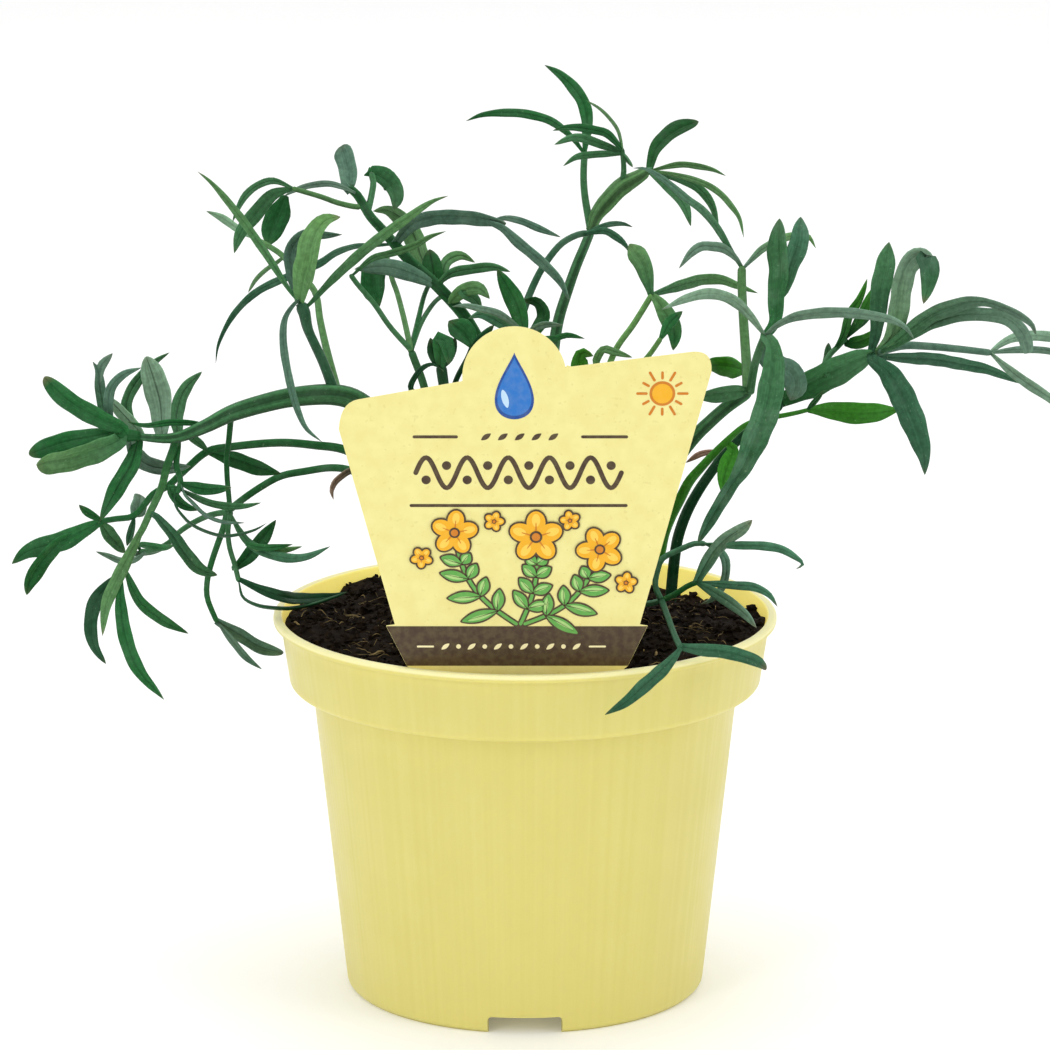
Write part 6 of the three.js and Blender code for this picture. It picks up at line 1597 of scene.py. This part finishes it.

# %% [markdown]
# The skin of a leaf is smooth and slightly waxy. Its colour comes from the tint kept in the mesh, which also
# holds painted light on the sides that face up and painted shade on those that face down. Fine veins that
# run lengthwise and small cells make it lighter and darker, a line of painted shade lies in every groove,
# and the edges have a painted highlight. Soft patches of bloom, pale specks and a dry tip come on top.
# Pictures of leaves could be laid on instead, but then each blade would have to be unwrapped. The three
# leaf finishes and the stem use this one recipe with more or less of each.

# %% Leaf and stem materials
BLOOM, SPECK, SKIN_DEPTH = screen(150, 182, 158), screen(170, 196, 160), 0.05


def skin_material(name, bloom, vein, groove, roughness):
    """Leaf skin: veined and mottled tint, painted groove shade, painted edge highlight, bloom and a dry tip.
    """
    material, tree, shader = new_material(name, IOR=1.42, Specular_IOR_Level=0.1)
    across, along = read(tree, "across"), read(tree, "along")
    streak = use_group(tree, streaks, {"Across": across, "Along": along, "Count": 7.0, "Length": 0.07,
                                       "Low": 0.25, "High": 0.75})["Streak"]
    patch = patchy(tree, scale=170.0, detail=4.0, low=0.42, high=0.7)
    cells = patchy(tree, scale=900.0, detail=4.0, low=0.3, high=0.7)
    speck = patchy(tree, scale=1500.0, detail=2.0, low=0.68, high=0.75)
    veined = fit_range(tree, streak, 0.0, 1.0, 1 - vein, 1 + vein)
    mottled = fit_range(tree, cells, 0.0, 1.0, 0.87, 1.14)
    # Painted shade: the grooves of blades and stalks are darker.
    sunk = fit_range(tree, read(tree, "groove"), 0.0, 1.0, 1.0, 1 - groove)
    # Painted highlight: the edges of a blade are lighter.
    painted_edge_highlight = fit_range(tree, read(tree, "edge"), 0.84, 1.0, 1.0, 1.22)
    lightness = reckon(tree, "MULTIPLY", reckon(tree, "MULTIPLY", veined, mottled),
                       reckon(tree, "MULTIPLY", sunk, painted_edge_highlight))
    scaled = add_node(tree, "VectorMath", {"Vector": read(tree, "tint", "Color"), "Scale": lightness},
                      operation="SCALE")
    colour = scaled.outputs["Vector"]
    for mask, most, tint in ((patch, bloom, BLOOM), (speck, 0.2, SPECK), (read(tree, "tip"), 0.6, DRY_TIP)):
        colour = blend_colours(tree, reckon(tree, "MULTIPLY", mask, most), colour, tint)
    tree.links.new(colour, shader.inputs["Base Color"])
    vary_roughness(tree, shader, patch, roughness - 0.06, roughness + 0.1)
    bump(tree, shader, reckon(tree, "ADD", streak, reckon(tree, "MULTIPLY", cells, 0.3)), SKIN_DEPTH)
    return material


# The third number of each skin is how dark its painted groove shade is.
SKINS = {"stem": skin_material("ridged stem", 0.06, 0.16, 0.6, 0.5),
         "leaf_dark": skin_material("dark leaf", 0.05, 0.12, 0.16, 0.42),
         "leaf_green": skin_material("fresh leaf", 0.03, 0.12, 0.2, 0.4),
         "leaf_grey": skin_material("grey leaf", 0.14, 0.12, 0.12, 0.5)}
print(len(SKINS), "skins")

# %% Bark material
BARK_DARK, BARK_LIGHT, BARK_MOSS = screen(66, 50, 34), screen(134, 112, 78), screen(88, 96, 62)
bark, tree, shader = new_material("rootstock bark", Roughness=0.85, Specular_IOR_Level=0.25)
across, along = read(tree, "across"), read(tree, "along")
streak = use_group(tree, streaks, {"Across": across, "Along": along, "Count": 5.0, "Length": 0.35})["Streak"]
patch = patchy(tree, scale=300.0, detail=5.0, low=0.4, high=0.6)
base = blend_colours(tree, streak, BARK_DARK, BARK_LIGHT)
mossy = blend_colours(tree, reckon(tree, "MULTIPLY", patch, 0.5), base, BARK_MOSS)
tree.links.new(mossy, shader.inputs["Base Color"])
vary_roughness(tree, shader, patch, 0.75, 0.92)
bump(tree, shader, streak, 0.4)
SKINS["crown"] = bark
print("bark ready")

# %% [markdown]
# ## Growing the plant
#
# With the recipes ready, one loop grows every part of the layout as one piece and lets it stand for its
# measured part. Each piece has its part's name after the word grown, so it is easily found.

# %% Grow every part
face_total = 0
for name, part in PLANT.items():
    lines = lines_of(name)
    shells = [stalk_shell(entry[0], entry[1], line, k + len(name))
              for k, (entry, line) in enumerate(zip(part["stalks"], lines["stalks"]))]
    shells += [blade_shell(entry[0], entry[1], line, 0, SHEATH_THICKNESS)
               for entry, line in zip(part["sheaths"], lines["sheaths"])]
    shells += [blade_shell(entry[0], entry[1], line, k + len(name))
               for k, (entry, line) in enumerate(zip(part["blades"], lines["blades"]))]
    piece = add_piece("grown_" + name, shells, SKINS[part["finish"]], name)
    face_total += len(piece.data.polygons)
print(len(PLANT), "parts grown with", face_total, "faces")

# %% [markdown]
# ## Floor and light
#
# The picture was taken on white, so a broad white floor fills the view and soft light comes from all
# round. One tall softbox in front on the left draws the long pale highlight down the pot, and a
# weaker one on the right keeps the far side open.

# %% Floor
FLOOR_REACH, FLOOR_BACK, FLOOR_BEND, BACKDROP_TOP = 6.0, 2.6, 0.9, 5.0
FLOOR_WHITE, FLOOR_CLOUD = (0.93, 0.93, 0.93, 1), (0.95, 0.95, 0.945, 1)

floor_mesh = bpy.data.meshes.new("floor")
steps = [(-FLOOR_REACH, 0.0), (FLOOR_BACK, 0.0)]
steps += [(FLOOR_BACK + FLOOR_BEND * math.sin(a), FLOOR_BEND - FLOOR_BEND * math.cos(a))
          for a in np.linspace(0.1, math.pi / 2, 12)]
steps.append((FLOOR_BACK + FLOOR_BEND, BACKDROP_TOP))
points = [(x, y, z) for y, z in steps for x in (-FLOOR_REACH, FLOOR_REACH)]
floor_mesh.from_pydata(points, [], [(2 * k, 2 * k + 1, 2 * k + 3, 2 * k + 2) for k in range(len(steps) - 1)])
floor_mesh.shade_smooth()
floor_paint, tree, shader = new_material("white studio floor", Roughness=0.7, Specular_IOR_Level=0.2,
                                         Emission_Color=(1, 1, 1, 1), Emission_Strength=0.12)
cloudy = patchy(tree, scale=3.0, detail=2.0, low=0.2, high=0.8)
tree.links.new(blend_colours(tree, cloudy, FLOOR_WHITE, FLOOR_CLOUD), shader.inputs["Base Color"])
floor_mesh.materials.append(floor_paint)
floor = bpy.data.objects.new("floor", floor_mesh)
scene.collection.objects.link(floor)
print("floor", [round(value, 1) for value in floor.dimensions], "m")

# %% Light
LAMP_AIM = Vector((0, 0, 0.1))
SKY_STRENGTH = 0.6


def softbox(name, position, width, height, power):
    """A rectangular lamp that looks at the pot."""
    lamp = bpy.data.lights.new(name, "AREA")
    lamp.shape = "RECTANGLE"
    lamp.size, lamp.size_y, lamp.energy = width, height, power
    made = bpy.data.objects.new(name, lamp)
    scene.collection.objects.link(made)
    made.location = position
    made.rotation_euler = (LAMP_AIM - made.location).to_track_quat("-Z", "Y").to_euler()


world = bpy.data.worlds.new("white studio")
scene.world = world
world.use_nodes = True
sky = world.node_tree.nodes["Background"]
sky.inputs["Color"].default_value = (1, 1, 1, 1)
sky.inputs["Strength"].default_value = SKY_STRENGTH
softbox("left softbox", (-1.1, -1.5, 0.9), width=0.5, height=1.6, power=9)
softbox("right softbox", (1.8, -1.0, 1.1), width=0.9, height=1.4, power=8)
softbox("top softbox", (0.0, 0.3, 2.2), width=2.4, height=2.4, power=26)
scene.view_settings.view_transform = "Standard"
print("lights ready")
